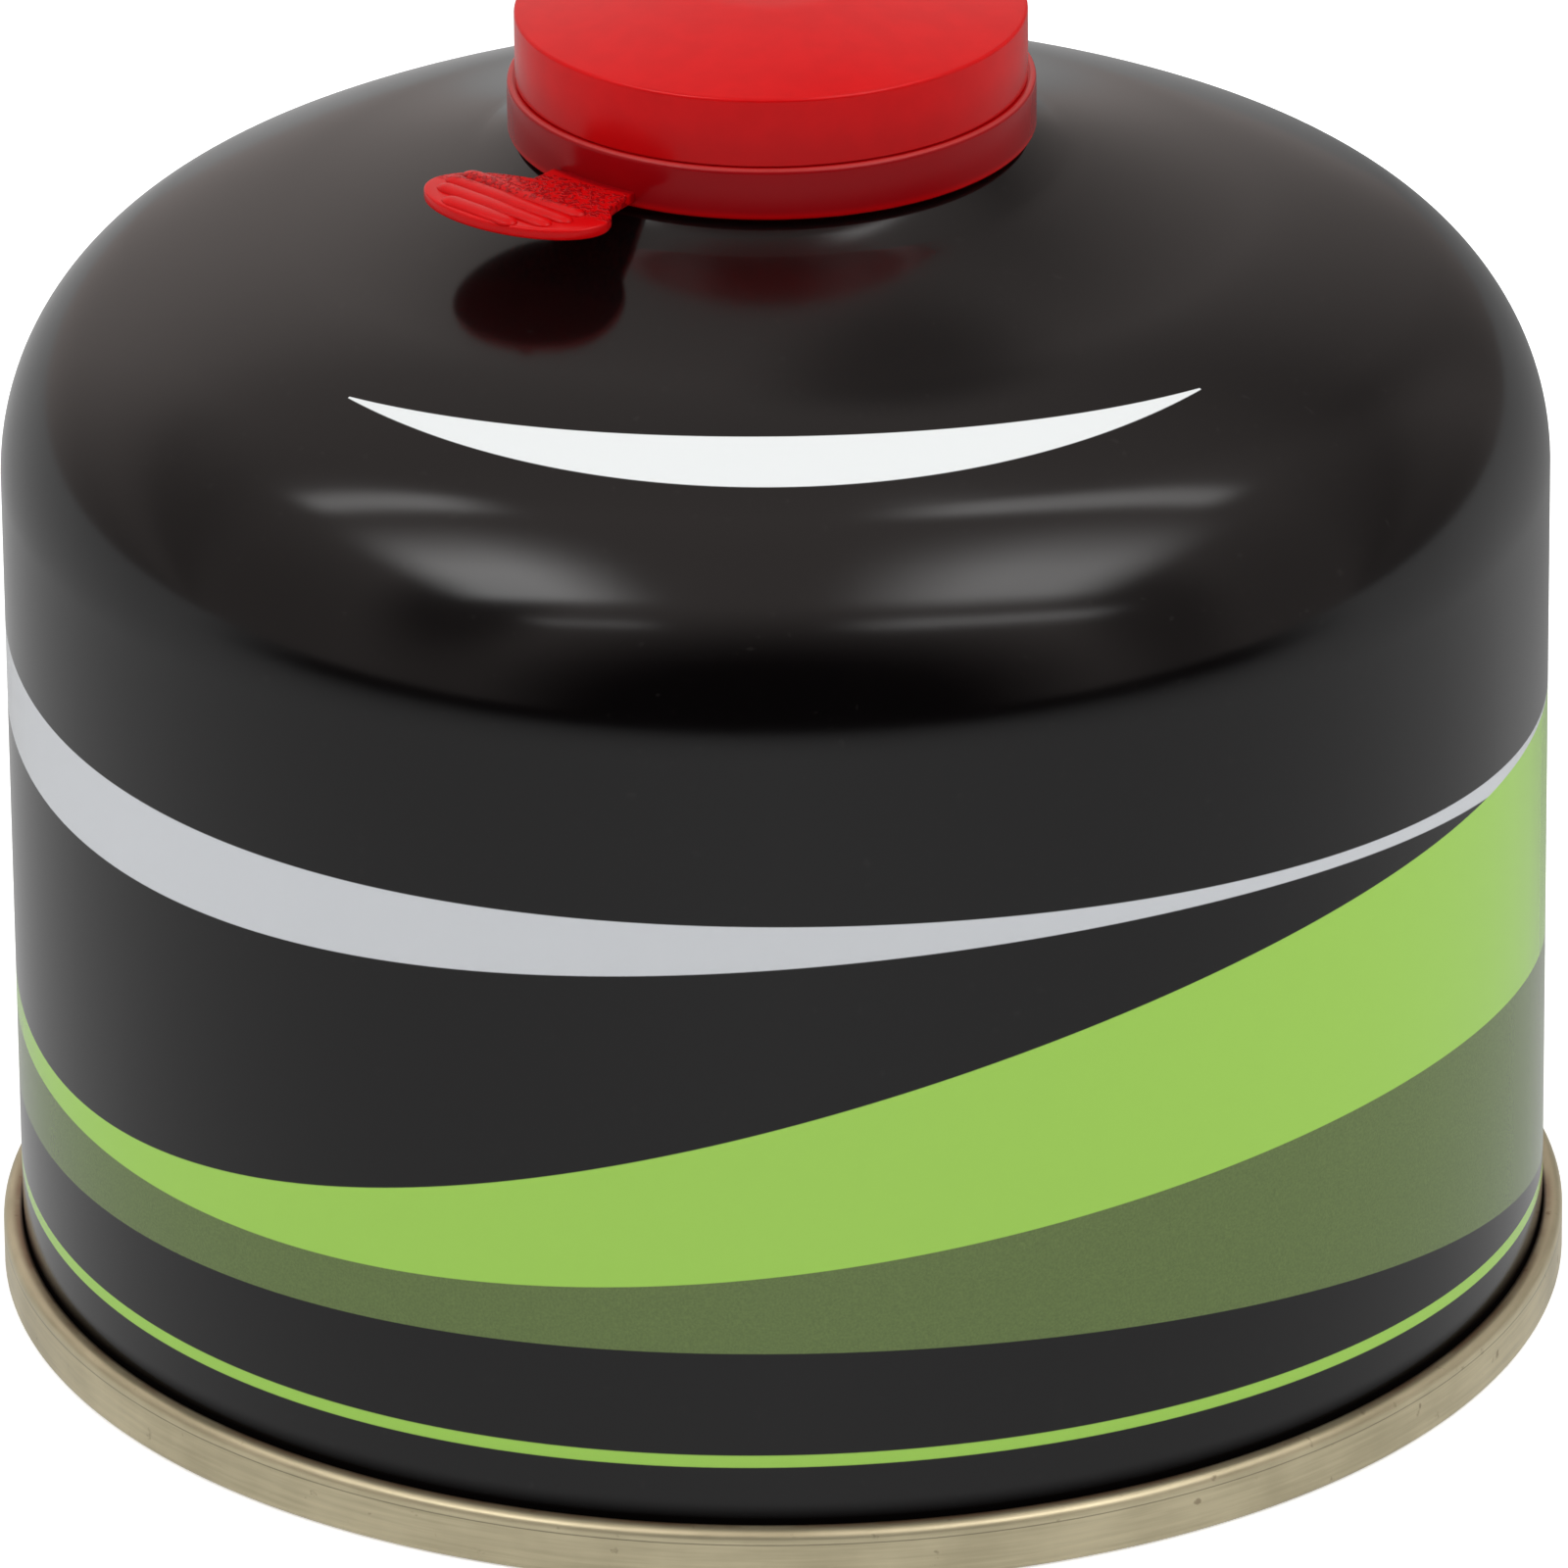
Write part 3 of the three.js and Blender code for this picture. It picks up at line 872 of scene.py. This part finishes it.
@dataclass
class SeamedEnd:
    """The steel end: folded leg, foot, chuck wall and concave panel."""

    radius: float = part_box("bottom_end")[1].x
    height: float = 4.1 * MM
    leg: float = 1.1 * MM
    gap: float = 0.3 * MM
    sheet: float = 0.5 * MM
    foot: float = 0.9 * MM
    chuck_wall: float = 5 * MM
    chuck_rounding: float = 2 * MM
    rise: float = 6.5 * MM
    foot_rounding: float = 0.5 * MM
    lip_rounding: float = 0.7 * MM
    hem_radius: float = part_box("can_body")[1].x + 0.04 * MM
    hem_rounding: float = 0.1 * MM
    hem_drop: float = 0.8 * MM
    hem_thickness: float = 1.1 * MM
    segments: int = 288

    def build(self) -> bpy.types.Object:
        """Draws and spins the section, and dresses it in tinplate.

        Returns:
            The end's object.
        """
        leg_inner = self.radius - self.leg
        chuck = self.radius - self.leg - self.gap - self.sheet - self.gap
        bore = chuck - self.sheet
        panel = bore - self.chuck_rounding
        sphere = (panel ** 2 + self.rise ** 2) / (2 * self.rise)
        sweep = math.degrees(math.asin(panel / sphere))
        centre = self.chuck_wall + self.rise - sphere
        wall_top = self.chuck_wall - self.chuck_rounding
        foot_centre = self.radius - self.foot_rounding
        lip_foot = self.height - self.lip_rounding

        section = Section(0, centre + sphere)
        section.turn(0, centre, -sweep, 24)
        section.turn(panel, wall_top, -90, 8)
        section.to(bore, self.foot_rounding)
        section.turn(bore + self.foot_rounding, self.foot_rounding, 90, 6)
        section.to(foot_centre, 0).turn(foot_centre, self.foot_rounding, 90, 8)
        section.to(self.radius, lip_foot).turn(self.radius - self.lip_rounding, lip_foot, 90, 8)
        section.to(self.hem_radius + self.hem_rounding, self.height)
        section.turn(self.hem_radius + self.hem_rounding, self.height - self.hem_rounding, 90, 4)
        section.to(self.hem_radius, self.height - self.hem_drop)
        section.to(leg_inner, self.height - self.hem_thickness)
        section.to(leg_inner, self.foot).to(chuck, self.foot)
        section.to(chuck, wall_top).turn(panel, wall_top, 90, 8)
        section.turn(0, centre, sweep, 24)
        section.to(0, centre + sphere + self.sheet)
        mesh = section.spun(self.segments)
        return finish_piece(mesh, "seamed_end", TINPLATE, "tinplate", "bottom_end")


@dataclass
class Cap:
    """The moulded cap: shell with snap lip, tear band and groove, and the ribbed pull tab."""

    top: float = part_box("cap")[1].z
    foot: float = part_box("cap")[0].z
    skirt: float = 17.6 * MM
    band: float = 18.16 * MM
    wall: float = 1.2 * MM
    inner: float = 16.4 * MM
    lip: float = 15.0 * MM
    lip_height: float = 0.6 * MM
    skirt_height: float = 5.0 * MM
    groove_depth: float = 0.12 * MM
    groove_height: float = 0.12 * MM
    edge_rounding: float = 0.3 * MM
    edge_sweep: float = 78
    crown_flat: float = 6.5 * MM
    crown_centre: float = 5.2 * MM
    crown_drop: float = 0.06 * MM
    ring_centre: float = 14.0 * MM
    ring_wall: float = 1.0 * MM
    ring_foot: float = 89.23 * MM
    tab_length: float = 14.6 * MM
    tab_width: float = 8.2 * MM
    tab_reach: float = 9.8 * MM
    tab_shift: float = 4.0 * MM
    tab_lift: float = 0.4 * MM
    tab_thickness: float = 0.8 * MM
    tab_rounding: float = 0.16 * MM
    neck_width: float = 7.2 * MM
    neck_shift: float = 2.0 * MM
    neck_root: float = 0.6 * MM
    neck_flare: float = 1.5 * MM
    neck_flare_start: float = 0.15
    rib_count: int = 4
    rib_pitch: float = 1.4 * MM
    rib_fullness: float = 0.51
    rib_tip_share: float = 1.6
    rib_height: float = 0.35 * MM
    rib_turn: float = -9
    rib_shift: float = 0.5 * MM
    rib_border: float = 0.3 * MM
    rib_end_margin: float = 1.3 * MM
    segments: int = 192

    def shell(self) -> bmesh.types.BMesh:
        """Draws and spins the cap without its tab.

        Returns:
            The closed mesh of the shell.
        """
        band_top = self.foot + BAND_HEIGHT
        skirt_top = band_top + self.skirt_height
        edge = self.edge_rounding
        slope = (self.top - skirt_top) / (self.skirt - edge - self.crown_flat)

        def under(radius: float) -> float:
            """Height of the crown's lower face at a radius."""
            return self.top - self.wall - max(0.0, radius - self.crown_flat) * slope

        section = Section(0, under(0)).to(self.crown_flat, under(self.crown_flat))
        for radius, height in (
            (self.ring_centre - self.ring_wall / 2, None),
            (self.ring_centre - self.ring_wall / 2, self.ring_foot),
            (self.ring_centre + self.ring_wall / 2, self.ring_foot),
            (self.ring_centre + self.ring_wall / 2, None),
            (self.inner, None),
            (self.inner, band_top),
            (self.band - self.wall, band_top - (self.band - self.skirt)),
            (self.band - self.wall, self.foot + self.lip_height),
            (self.lip, self.foot + self.lip_height),
            (self.lip, self.foot),
            (self.band - edge, self.foot),
        ):
            section.to(radius, under(radius) if height is None else height)
        section.turn(self.band - edge, self.foot + edge, 90, 6)
        section.to(self.band, band_top - edge).turn(self.band - edge, band_top - edge, 90, 6)
        section.to(self.skirt - self.groove_depth, band_top)
        section.to(self.skirt - self.groove_depth, band_top + self.groove_height)
        section.to(self.skirt, band_top + self.groove_height)
        section.to(self.skirt, skirt_top - edge)
        section.turn(self.skirt - edge, skirt_top - edge, self.edge_sweep, 8)
        section.to(self.crown_flat, self.top - self.crown_drop).to(self.crown_centre, self.top)
        section.to(0, self.top)
        return section.spun(self.segments)

    def tab_place(self) -> Matrix:
        """The turn and shift that put the tab's own frame on the band's face."""
        turn = Matrix.Rotation(math.pi + TAB_AZIMUTH, 4, "Z")
        return turn @ Matrix.Translation((0, self.band, self.foot + self.tab_lift))

    def plate(self) -> bmesh.types.BMesh:
        """The oval plate, rounded along its edges, in the tab's own frame.

        Returns:
            The plate's closed mesh.
        """
        mesh = bmesh.new()
        bmesh.ops.create_circle(mesh, cap_ends=True, radius=1, segments=96)
        bmesh.ops.scale(mesh, vec=(self.tab_length / 2, self.tab_width / 2, 1), verts=mesh.verts)
        centre = (self.tab_shift, self.tab_reach - self.tab_width / 2, 0)
        bmesh.ops.translate(mesh, vec=centre, verts=mesh.verts)
        return self.thickened(mesh)

    def neck(self) -> bmesh.types.BMesh:
        """The waisted neck, in the tab's own frame; it starts inside the band's wall.

        Returns:
            The neck's closed mesh.
        """
        length = self.tab_reach - self.tab_width / 2 + self.neck_root
        mesh = bmesh.new()
        bmesh.ops.create_grid(mesh, x_segments=1, y_segments=10, size=0.5)
        for vert in mesh.verts:
            along = vert.co.y + 0.5
            flare = self.neck_flare * max(0.0, along - self.neck_flare_start) ** 2
            width = self.neck_width + 2 * flare
            vert.co = (self.neck_shift + vert.co.x * width, along * length - self.neck_root, 0)
        return self.thickened(mesh)

    def thickened(self, mesh: bmesh.types.BMesh) -> bmesh.types.BMesh:
        """Gives a flat outline the tab's thickness and soft edges.

        Args:
            mesh: the flat outline on the tab's underside.

        Returns:
            The same mesh as a closed plate.
        """
        grown = bmesh.ops.extrude_face_region(mesh, geom=mesh.faces[:])
        raised = [g for g in grown["geom"] if isinstance(g, bmesh.types.BMVert)]
        bmesh.ops.translate(mesh, vec=(0, 0, self.tab_thickness), verts=raised)
        bmesh.ops.recalc_face_normals(mesh, faces=mesh.faces[:])
        rims = [e for e in mesh.edges if e.is_manifold and e.calc_face_angle(0) > math.radians(60)]
        bmesh.ops.bevel(
            mesh,
            geom=rims,
            offset=self.tab_rounding,
            offset_type="OFFSET",
            segments=3,
            profile=0.5,
            affect="EDGES",
            material=-1,
            clamp_overlap=True,
        )
        return mesh

    def rib(self, number: int) -> bmesh.types.BMesh:
        """One rib: a low capsule along the plate, as long as the rib field lets it be.

        Args:
            number: which rib it is, counted from the outer rim.

        Returns:
            The rib's mesh, in the tab's own frame.
        """
        half_width = self.tab_width / 2 - self.rib_border
        half_length = self.tab_length / 2 - self.rib_end_margin
        across = half_width - (number + 0.5) * self.rib_pitch
        reach = half_length * math.sqrt(1 - (across / half_width) ** 2)
        thick = self.rib_pitch * self.rib_fullness
        tip = thick * self.rib_tip_share
        mesh = bmesh.new()
        bmesh.ops.create_uvsphere(mesh, u_segments=32, v_segments=16, radius=1)
        bmesh.ops.rotate(mesh, matrix=Matrix.Rotation(math.pi / 2, 3, "Y"), verts=mesh.verts)
        bmesh.ops.scale(mesh, vec=(tip, thick, self.rib_height), verts=mesh.verts)
        for vert in mesh.verts:
            if abs(vert.co.x) > 1e-7:
                vert.co.x += math.copysign(reach - tip, vert.co.x)
        bmesh.ops.translate(mesh, vec=(self.rib_shift, across, self.tab_thickness), verts=mesh.verts)
        turn = Matrix.Rotation(math.radians(self.rib_turn), 3, "Z")
        bmesh.ops.rotate(mesh, matrix=turn, verts=mesh.verts)
        centre = (self.tab_shift, self.tab_reach - self.tab_width / 2, 0)
        bmesh.ops.translate(mesh, vec=centre, verts=mesh.verts)
        return mesh

    def build(self) -> bpy.types.Object:
        """Joins shell, neck, plate and ribs into one moulding, and dresses it in red.

        Returns:
            The cap's object.
        """
        mesh = self.shell()
        parts = [self.neck(), self.plate(), *(self.rib(i) for i in range(self.rib_count))]
        whole = joined(mesh, [placed(part, self.tab_place()) for part in parts])
        return finish_piece(whole, "cap_moulding", CAP_RED, "cap_plastic", "cap", sharp=32)


def placed(mesh: bmesh.types.BMesh, place: Matrix) -> bmesh.types.BMesh:
    """Moves a mesh to its place."""
    bmesh.ops.transform(mesh, matrix=place, verts=mesh.verts)
    return mesh


def scratch_object(mesh: bmesh.types.BMesh, name: str) -> bpy.types.Object:
    """Puts a mesh in an object that a modifier can read, and uses the mesh up.

    Args:
        mesh: the mesh, which is used up.
        name: the object's name.

    Returns:
        The new object.
    """
    data = bpy.data.meshes.new(name)
    mesh.to_mesh(data)
    mesh.free()
    made = bpy.data.objects.new(name, data)
    bpy.context.scene.collection.objects.link(made)
    return made


def joined(mesh: bmesh.types.BMesh, others: list[bmesh.types.BMesh]) -> bmesh.types.BMesh:
    """Unites closed meshes into one skin.

    Args:
        mesh: the first mesh.
        others: the meshes that are added to it.

    Returns:
        A new mesh of their union; the meshes that went in are used up.
    """
    whole = scratch_object(mesh, "join_base")
    tools = [scratch_object(other, f"join_tool_{i}") for i, other in enumerate(others)]
    for tool in tools:
        union = whole.modifiers.new("union", "BOOLEAN")
        union.operation = "UNION"
        union.solver = "EXACT"
        union.object = tool
    graph = bpy.context.evaluated_depsgraph_get()
    result = bmesh.new()
    result.from_object(whole, graph)
    for spent in (whole, *tools):
        bpy.data.objects.remove(spent)
    bmesh.ops.remove_doubles(result, verts=result.verts[:], dist=1e-7)
    return result


@dataclass
class ThreadedCup:
    """The mounting cup: floor, wall, rim crimped over the can's curl, and the threaded boss."""

    foot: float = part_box("valve_cup")[0].z
    top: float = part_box("valve_cup")[1].z
    sheet: float = 0.5 * MM
    wall: float = 12.4 * MM
    curl_centre: float = 14.0 * MM
    curl_height: float = 2.51 * MM
    skirt_foot: float = 1.3 * MM
    bore: float = 4.75 * MM
    boss: float = 5.55 * MM
    thread_root: float = 5.0 * MM
    thread_crest: float = 5.53 * MM
    thread_pitch: float = 0.907 * MM
    thread_turns: int = 6
    thread_start: float = 1.3 * MM
    thread_base_share: float = 0.40
    thread_crest_share: float = 0.06
    thread_root_sink: float = 0.08 * MM
    thread_steps_a_turn: int = 48
    boss_foot: float = 0.4 * MM
    undercut: float = 0.9 * MM
    chamfer: float = 0.15 * MM
    mouth: float = 3.4 * MM
    lip: float = 0.8 * MM
    segments: int = 96

    def cup(self) -> bmesh.types.BMesh:
        """Draws and spins the cup with a plain boss.

        Returns:
            The closed mesh of the cup.
        """
        centre = self.foot + self.curl_height
        inner = self.curl_centre - self.wall
        outer = inner + self.sheet
        section = Section(self.bore, self.foot).to(self.wall, self.foot).to(self.wall, centre)
        section.turn(self.curl_centre, centre, -180, 24)
        section.to(self.curl_centre + inner, self.foot + self.skirt_foot)
        section.to(self.curl_centre + outer, self.foot + self.skirt_foot)
        section.to(self.curl_centre + outer, centre)
        section.turn(self.curl_centre, centre, 180, 24)
        floor = self.foot + self.sheet
        section.to(self.wall - self.sheet, floor).to(self.boss, floor)
        section.to(self.boss, floor + self.boss_foot).to(self.thread_root, floor + self.undercut)
        section.to(self.thread_root, self.top - self.chamfer).to(self.thread_root - self.chamfer, self.top)
        section.to(self.mouth, self.top).to(self.mouth, self.top - self.lip)
        section.to(self.bore, self.top - self.lip).close()
        return section.spun(self.segments)

    def thread(self) -> bmesh.types.BMesh:
        """Winds the thread's ridge round the boss.

        Returns:
            The closed mesh of the ridge.
        """
        start = self.foot + self.sheet + self.thread_start
        base = self.thread_base_share * self.thread_pitch
        crest = self.thread_crest_share * self.thread_pitch
        root = self.thread_root - self.thread_root_sink
        steps = self.thread_turns * self.thread_steps_a_turn
        mesh = bmesh.new()
        corners = ((root, -base), (self.thread_crest, -crest), (self.thread_crest, crest), (root, base))
        profile = mesh.faces.new([mesh.verts.new((r, 0, start + h)) for r, h in corners])
        bmesh.ops.spin(
            mesh,
            geom=[profile, *profile.edges, *profile.verts],
            cent=(0, 0, 0),
            axis=(0, 0, 1),
            dvec=(0, 0, self.thread_pitch * self.thread_turns / steps),
            angle=2 * math.pi * self.thread_turns,
            steps=steps,
            use_merge=False,
        )
        bmesh.ops.recalc_face_normals(mesh, faces=mesh.faces[:])
        return mesh

    def build(self) -> bpy.types.Object:
        """Joins cup and thread, and dresses them in bright steel."""
        whole = joined(self.cup(), [self.thread()])
        return finish_piece(whole, "threaded_cup", CUP_STEEL, "cup_steel", "valve_cup")


@dataclass
class Valve:
    """The valve's gasket and core: their frame nodes keep their shape and get their finishes."""

    def build(self) -> list[bpy.types.Object]:
        """Dresses the gasket and the core.

        Returns:
            The two nodes' objects.
        """
        finishes = {"valve_gasket": RUBBER, "valve_core": VALVE_PLASTIC}
        dressed = []
        for name, finish in finishes.items():
            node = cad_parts[name]
            node.data.materials.clear()
            node.data.materials.append(finish.material())
            dressed.append(node)
        return dressed


@dataclass
class Studio:
    """Camera, pale floor and the soft lights of the photograph."""

    elevation: float = math.radians(23.859)
    roll: float = -0.0101
    distance: float = 1128.1764 * MM
    aim: Vector = Vector((0.3672 * MM, 0, 35.1098 * MM))
    focal_px: float = 16479.6845
    frame_px: float = 1600.0
    sensor: float = 36.0
    ceiling: float = 1.2
    shoulder: float = 0.07
    floor_size: float = 6.0
    floor_grey: Colour = (0.86, 0.86, 0.86)
    floor_lift: float = 0.45
    mirrored_floor: float = 0.66
    sideways_loss: float = 0.09
    backward_loss: float = 0.14
    floor_ahead: Fade = Fade(1.0, 0.05, -0.45)
    floor_far: Fade = Fade(-1.0, 0.20, 0.70)
    floor_rear: Fade = Fade(-0.5, 0.4, 1.0)
    floor_right: Fade = Fade(1.0, 0.0, 0.25)
    daylight: float = 1.0
    daylight_ahead: Fade = Fade(-0.5, -0.1, -0.9)
    room: float = 3.0
    room_tint: Colour = (1, 0.89, 0.85)
    behind: float = 0.50
    behind_by_height: tuple[Fade, ...] = (Fade(0.18, 5, 32), Fade(-0.17, 36, 50), Fade(0.17, 62, 86))
    front: Fade = Fade(1.0, -0.92, -0.56)
    sides: Fade = Fade(-0.45, 0.5, 1.0)
    below_lights: Fade = Fade(1.0, 70, 40)
    right: Fade = Fade(-0.35, 0.2, 0.55)
    right_rear: Fade = Fade(-0.4, 0.05, 0.3)
    right_rear_end: Fade = Fade(1.0, 0.75, 0.55)
    card_core: float = 0.3

    def camera(self) -> None:
        """Makes the camera at the photograph's viewing angle."""
        data = bpy.data.cameras.new("camera")
        data.sensor_width = self.sensor
        data.lens = self.focal_px / self.frame_px * self.sensor
        data.clip_start = 0.05
        data.clip_end = 50
        camera = bpy.data.objects.new("camera", data)
        bpy.context.scene.collection.objects.link(camera)
        back = Vector((0, -math.cos(self.elevation), math.sin(self.elevation)))
        level = Vector((1, 0, 0))
        up = back.cross(level)
        right = math.cos(self.roll) * level + math.sin(self.roll) * up
        over = back.cross(right)
        turn = Matrix((right, over, back)).transposed().to_4x4()
        camera.matrix_world = Matrix.Translation(self.aim + self.distance * back) @ turn
        bpy.context.scene.camera = camera

    def floor(self) -> bpy.types.Object:
        """Makes the pale floor: white to the camera but for the shadow, and dimmer far off in gloss.

        Returns:
            The floor's object.
        """
        mesh = bmesh.new()
        bmesh.ops.create_grid(mesh, x_segments=1, y_segments=1, size=self.floor_size)
        floor = staged(mesh, "floor")
        board = Board(glow_material(floor, "pale_floor").node_tree)
        camera, mirrored = board.rays()
        x, y, _ = board.parts(board.place())
        far = board.length(x, y) + MM
        backwards = y / far
        level = self.mirrored_floor - self.sideways_loss * (abs(x) / far)
        level = level - self.backward_loss * board.clamp(backwards)
        level = level * (1 + self.floor_ahead.at(board, backwards) * self.floor_far.at(board, far))
        level = level * (1 + self.floor_rear.at(board, backwards) * self.floor_right.at(board, x / far))

        shown = board.mix(mirrored, self.floor_grey, (0.0, 0.0, 0.0))
        matt = board.node("ShaderNodeBsdfDiffuse", None, {"Color": shown})
        show_glow(board, WHITE, camera * self.floor_lift + mirrored * level, matt)
        return floor

    def world(self) -> None:
        """Lights the scene from all round, and shows white wherever there is no floor."""
        world = bpy.data.worlds.new("studio")
        world.use_nodes = True
        board = Board(world.node_tree)
        towards = board.node("ShaderNodeTexCoord").outputs["Generated"]
        light = self.daylight * (1 + self.daylight_ahead.at(board, board.parts(towards)[1]))
        camera, mirrored = board.rays()
        strength = light + (camera + mirrored) * (1 - light)
        ground = board.node("ShaderNodeBackground", None, {"Color": WHITE, "Strength": strength})
        board.node("ShaderNodeOutputWorld", None, {"Surface": ground.outputs[0]})
        bpy.context.scene.world = world

    def walls(self) -> bpy.types.Object:
        """Makes the grey studio that gloss mirrors: mid grey behind and above, dark in front.

        Returns:
            The object of the walls.
        """
        mesh = bmesh.new()
        bmesh.ops.create_uvsphere(mesh, u_segments=48, v_segments=24, radius=self.room)
        bmesh.ops.reverse_faces(mesh, faces=mesh.faces[:])
        walls = staged(mesh, "studio_walls")
        board = Board(glow_material(walls, "studio_grey").node_tree)
        x, y, z = board.parts(board.place(), self.room)
        over = board.maths("ARCTAN2", z, y) * math.degrees(1)
        behind = sum((fade.at(board, over) for fade in self.behind_by_height), self.behind)
        low = self.below_lights.at(board, over)
        level = behind * self.front.at(board, y) * (1 + self.sides.at(board, abs(x)))
        level = level * (1 + self.right.at(board, x) * low)
        level = level * (1 + self.right_rear.at(board, x) * self.right_rear_end.at(board, x) * low)
        for card in DARK_CARDS:
            gap = board.length(x - card.x, y - card.y)
            patch = board.ramp(gap, card.radius, card.radius * self.card_core)
            level = level * (1 - card.strength * patch)
        show_glow(board, self.room_tint, level)
        walls.data.materials[0].cycles.emission_sampling = "NONE"
        walls.visible_camera = False
        walls.visible_diffuse = False
        walls.visible_shadow = False
        walls.visible_transmission = False
        return walls

    def soft_box(self, box: "SoftBox") -> bpy.types.Object:
        """Hangs a glowing sheet under the ceiling.

        Args:
            box: its place, size, brightness and soft edges.

        Returns:
            The sheet's object.
        """
        mesh = bmesh.new()
        bmesh.ops.create_grid(mesh, x_segments=1, y_segments=1, size=1)
        bmesh.ops.reverse_faces(mesh, faces=mesh.faces[:])
        sheet = staged(mesh, box.name)
        sheet.location = (box.x * self.ceiling, box.y * self.ceiling, self.ceiling + self.shoulder)
        sheet.scale = (box.width / 2 * self.ceiling, box.depth / 2 * self.ceiling, 1)
        board = Board(glow_material(sheet, box.name).node_tree)
        x, y, _ = board.parts(board.place())
        fade = board.ramp(abs(x), 1.0, 1.0 - box.side_fade)
        fade = fade * board.ramp(y, -1.0, -1.0 + box.front_fade) * board.ramp(y, 1.0, 1.0 - box.back_fade)
        show_glow(board, WHITE, fade * box.level, board.node("ShaderNodeBsdfTransparent"))
        sheet.visible_camera = False
        return sheet

    def build(self) -> None:
        """Sets up the whole studio."""
        self.camera()
        self.floor()
        self.world()
        self.walls()
        for box in SOFT_BOXES:
            self.soft_box(box)


@dataclass(frozen=True)
class SoftBox:
    """A glowing sheet; its place and size are shares of the ceiling's height above the shoulder."""

    name: str
    x: float
    y: float
    width: float
    depth: float
    level: float
    side_fade: float = 0.8
    front_fade: float = 0.3
    back_fade: float = 1.2


@dataclass(frozen=True)
class DarkCard:
    """A round dark patch on the studio's wall; its place and radius are parts of a unit direction."""

    x: float
    y: float
    radius: float
    strength: float


SOFT_BOXES = (
    SoftBox("main_left", -0.70, -0.38, 0.88, 0.86, 3.9),
    SoftBox("main_right", 0.67, -0.43, 1.16, 0.96, 3.1, 0.8, 0.45),
    SoftBox("rim_left", -0.70, 0.19, 0.72, 0.20, 2.7, 0.5, 0.6, 0.9),
    SoftBox("rim_right", 0.54, 0.16, 0.90, 0.20, 2.4, 0.4, 0.6, 0.9),
    SoftBox("front_left", -0.66, -1.08, 0.62, 0.16, 1.3, 0.5, 0.5, 0.5),
    SoftBox("front_right", 0.88, -1.11, 1.50, 0.22, 2.0, 0.5, 0.5, 0.5),
)
DARK_CARDS = (
    DarkCard(0.09, 0.62, 0.13, 0.6),
    DarkCard(-0.64, -0.50, 0.26, 0.75),
    DarkCard(0.76, -0.46, 0.24, 0.5),
)


def staged(mesh: bmesh.types.BMesh, name: str) -> bpy.types.Object:
    """Makes a piece of the studio of a mesh, which is used up.

    Args:
        mesh: the modelled mesh.
        name: the piece's name.

    Returns:
        The piece's object.
    """
    made = scratch_object(mesh, name)
    made.data.shade_smooth()
    return made


def show_glow(board: Board, colour: Colour, strength: Signal, under: Optional[bpy.types.Node] = None) -> None:
    """Makes a glow the surface of a material.

    Args:
        board: the material's nodes.
        colour: the glow's colour.
        strength: how bright it is.
        under: a shader that the glow is added to, if there is one.
    """
    shown = board.node("ShaderNodeEmission", None, {"Color": colour, "Strength": strength})
    if under:
        shown = board.node("ShaderNodeAddShader", None, {0: under.outputs[0], 1: shown.outputs[0]})
    board.node("ShaderNodeOutputMaterial", None, {"Surface": shown.outputs[0]})


def glow_material(thing: bpy.types.Object, name: str) -> bpy.types.Material:
    """Gives a piece of the studio a new material of its own.

    Args:
        thing: the piece of the studio.
        name: the material's name.

    Returns:
        The new material.
    """
    material = bpy.data.materials.new(name)
    material.use_nodes = True
    thing.data.materials.append(material)
    return material


def main() -> None:
    """Builds the studio and every piece, and reports what was made."""
    logging.basicConfig(level=logging.INFO, format="%(name)s: %(message)s")
    scene = bpy.context.scene
    scene.view_settings.view_transform = "Standard"
    Studio().build()
    pieces = [Can().build(), SeamedEnd().build(), Cap().build(), ThreadedCup().build(), *Valve().build()]
    for piece in pieces:
        log.info("%s: %d faces", piece.name, len(piece.data.polygons))


if __name__ == "__main__":
    main()
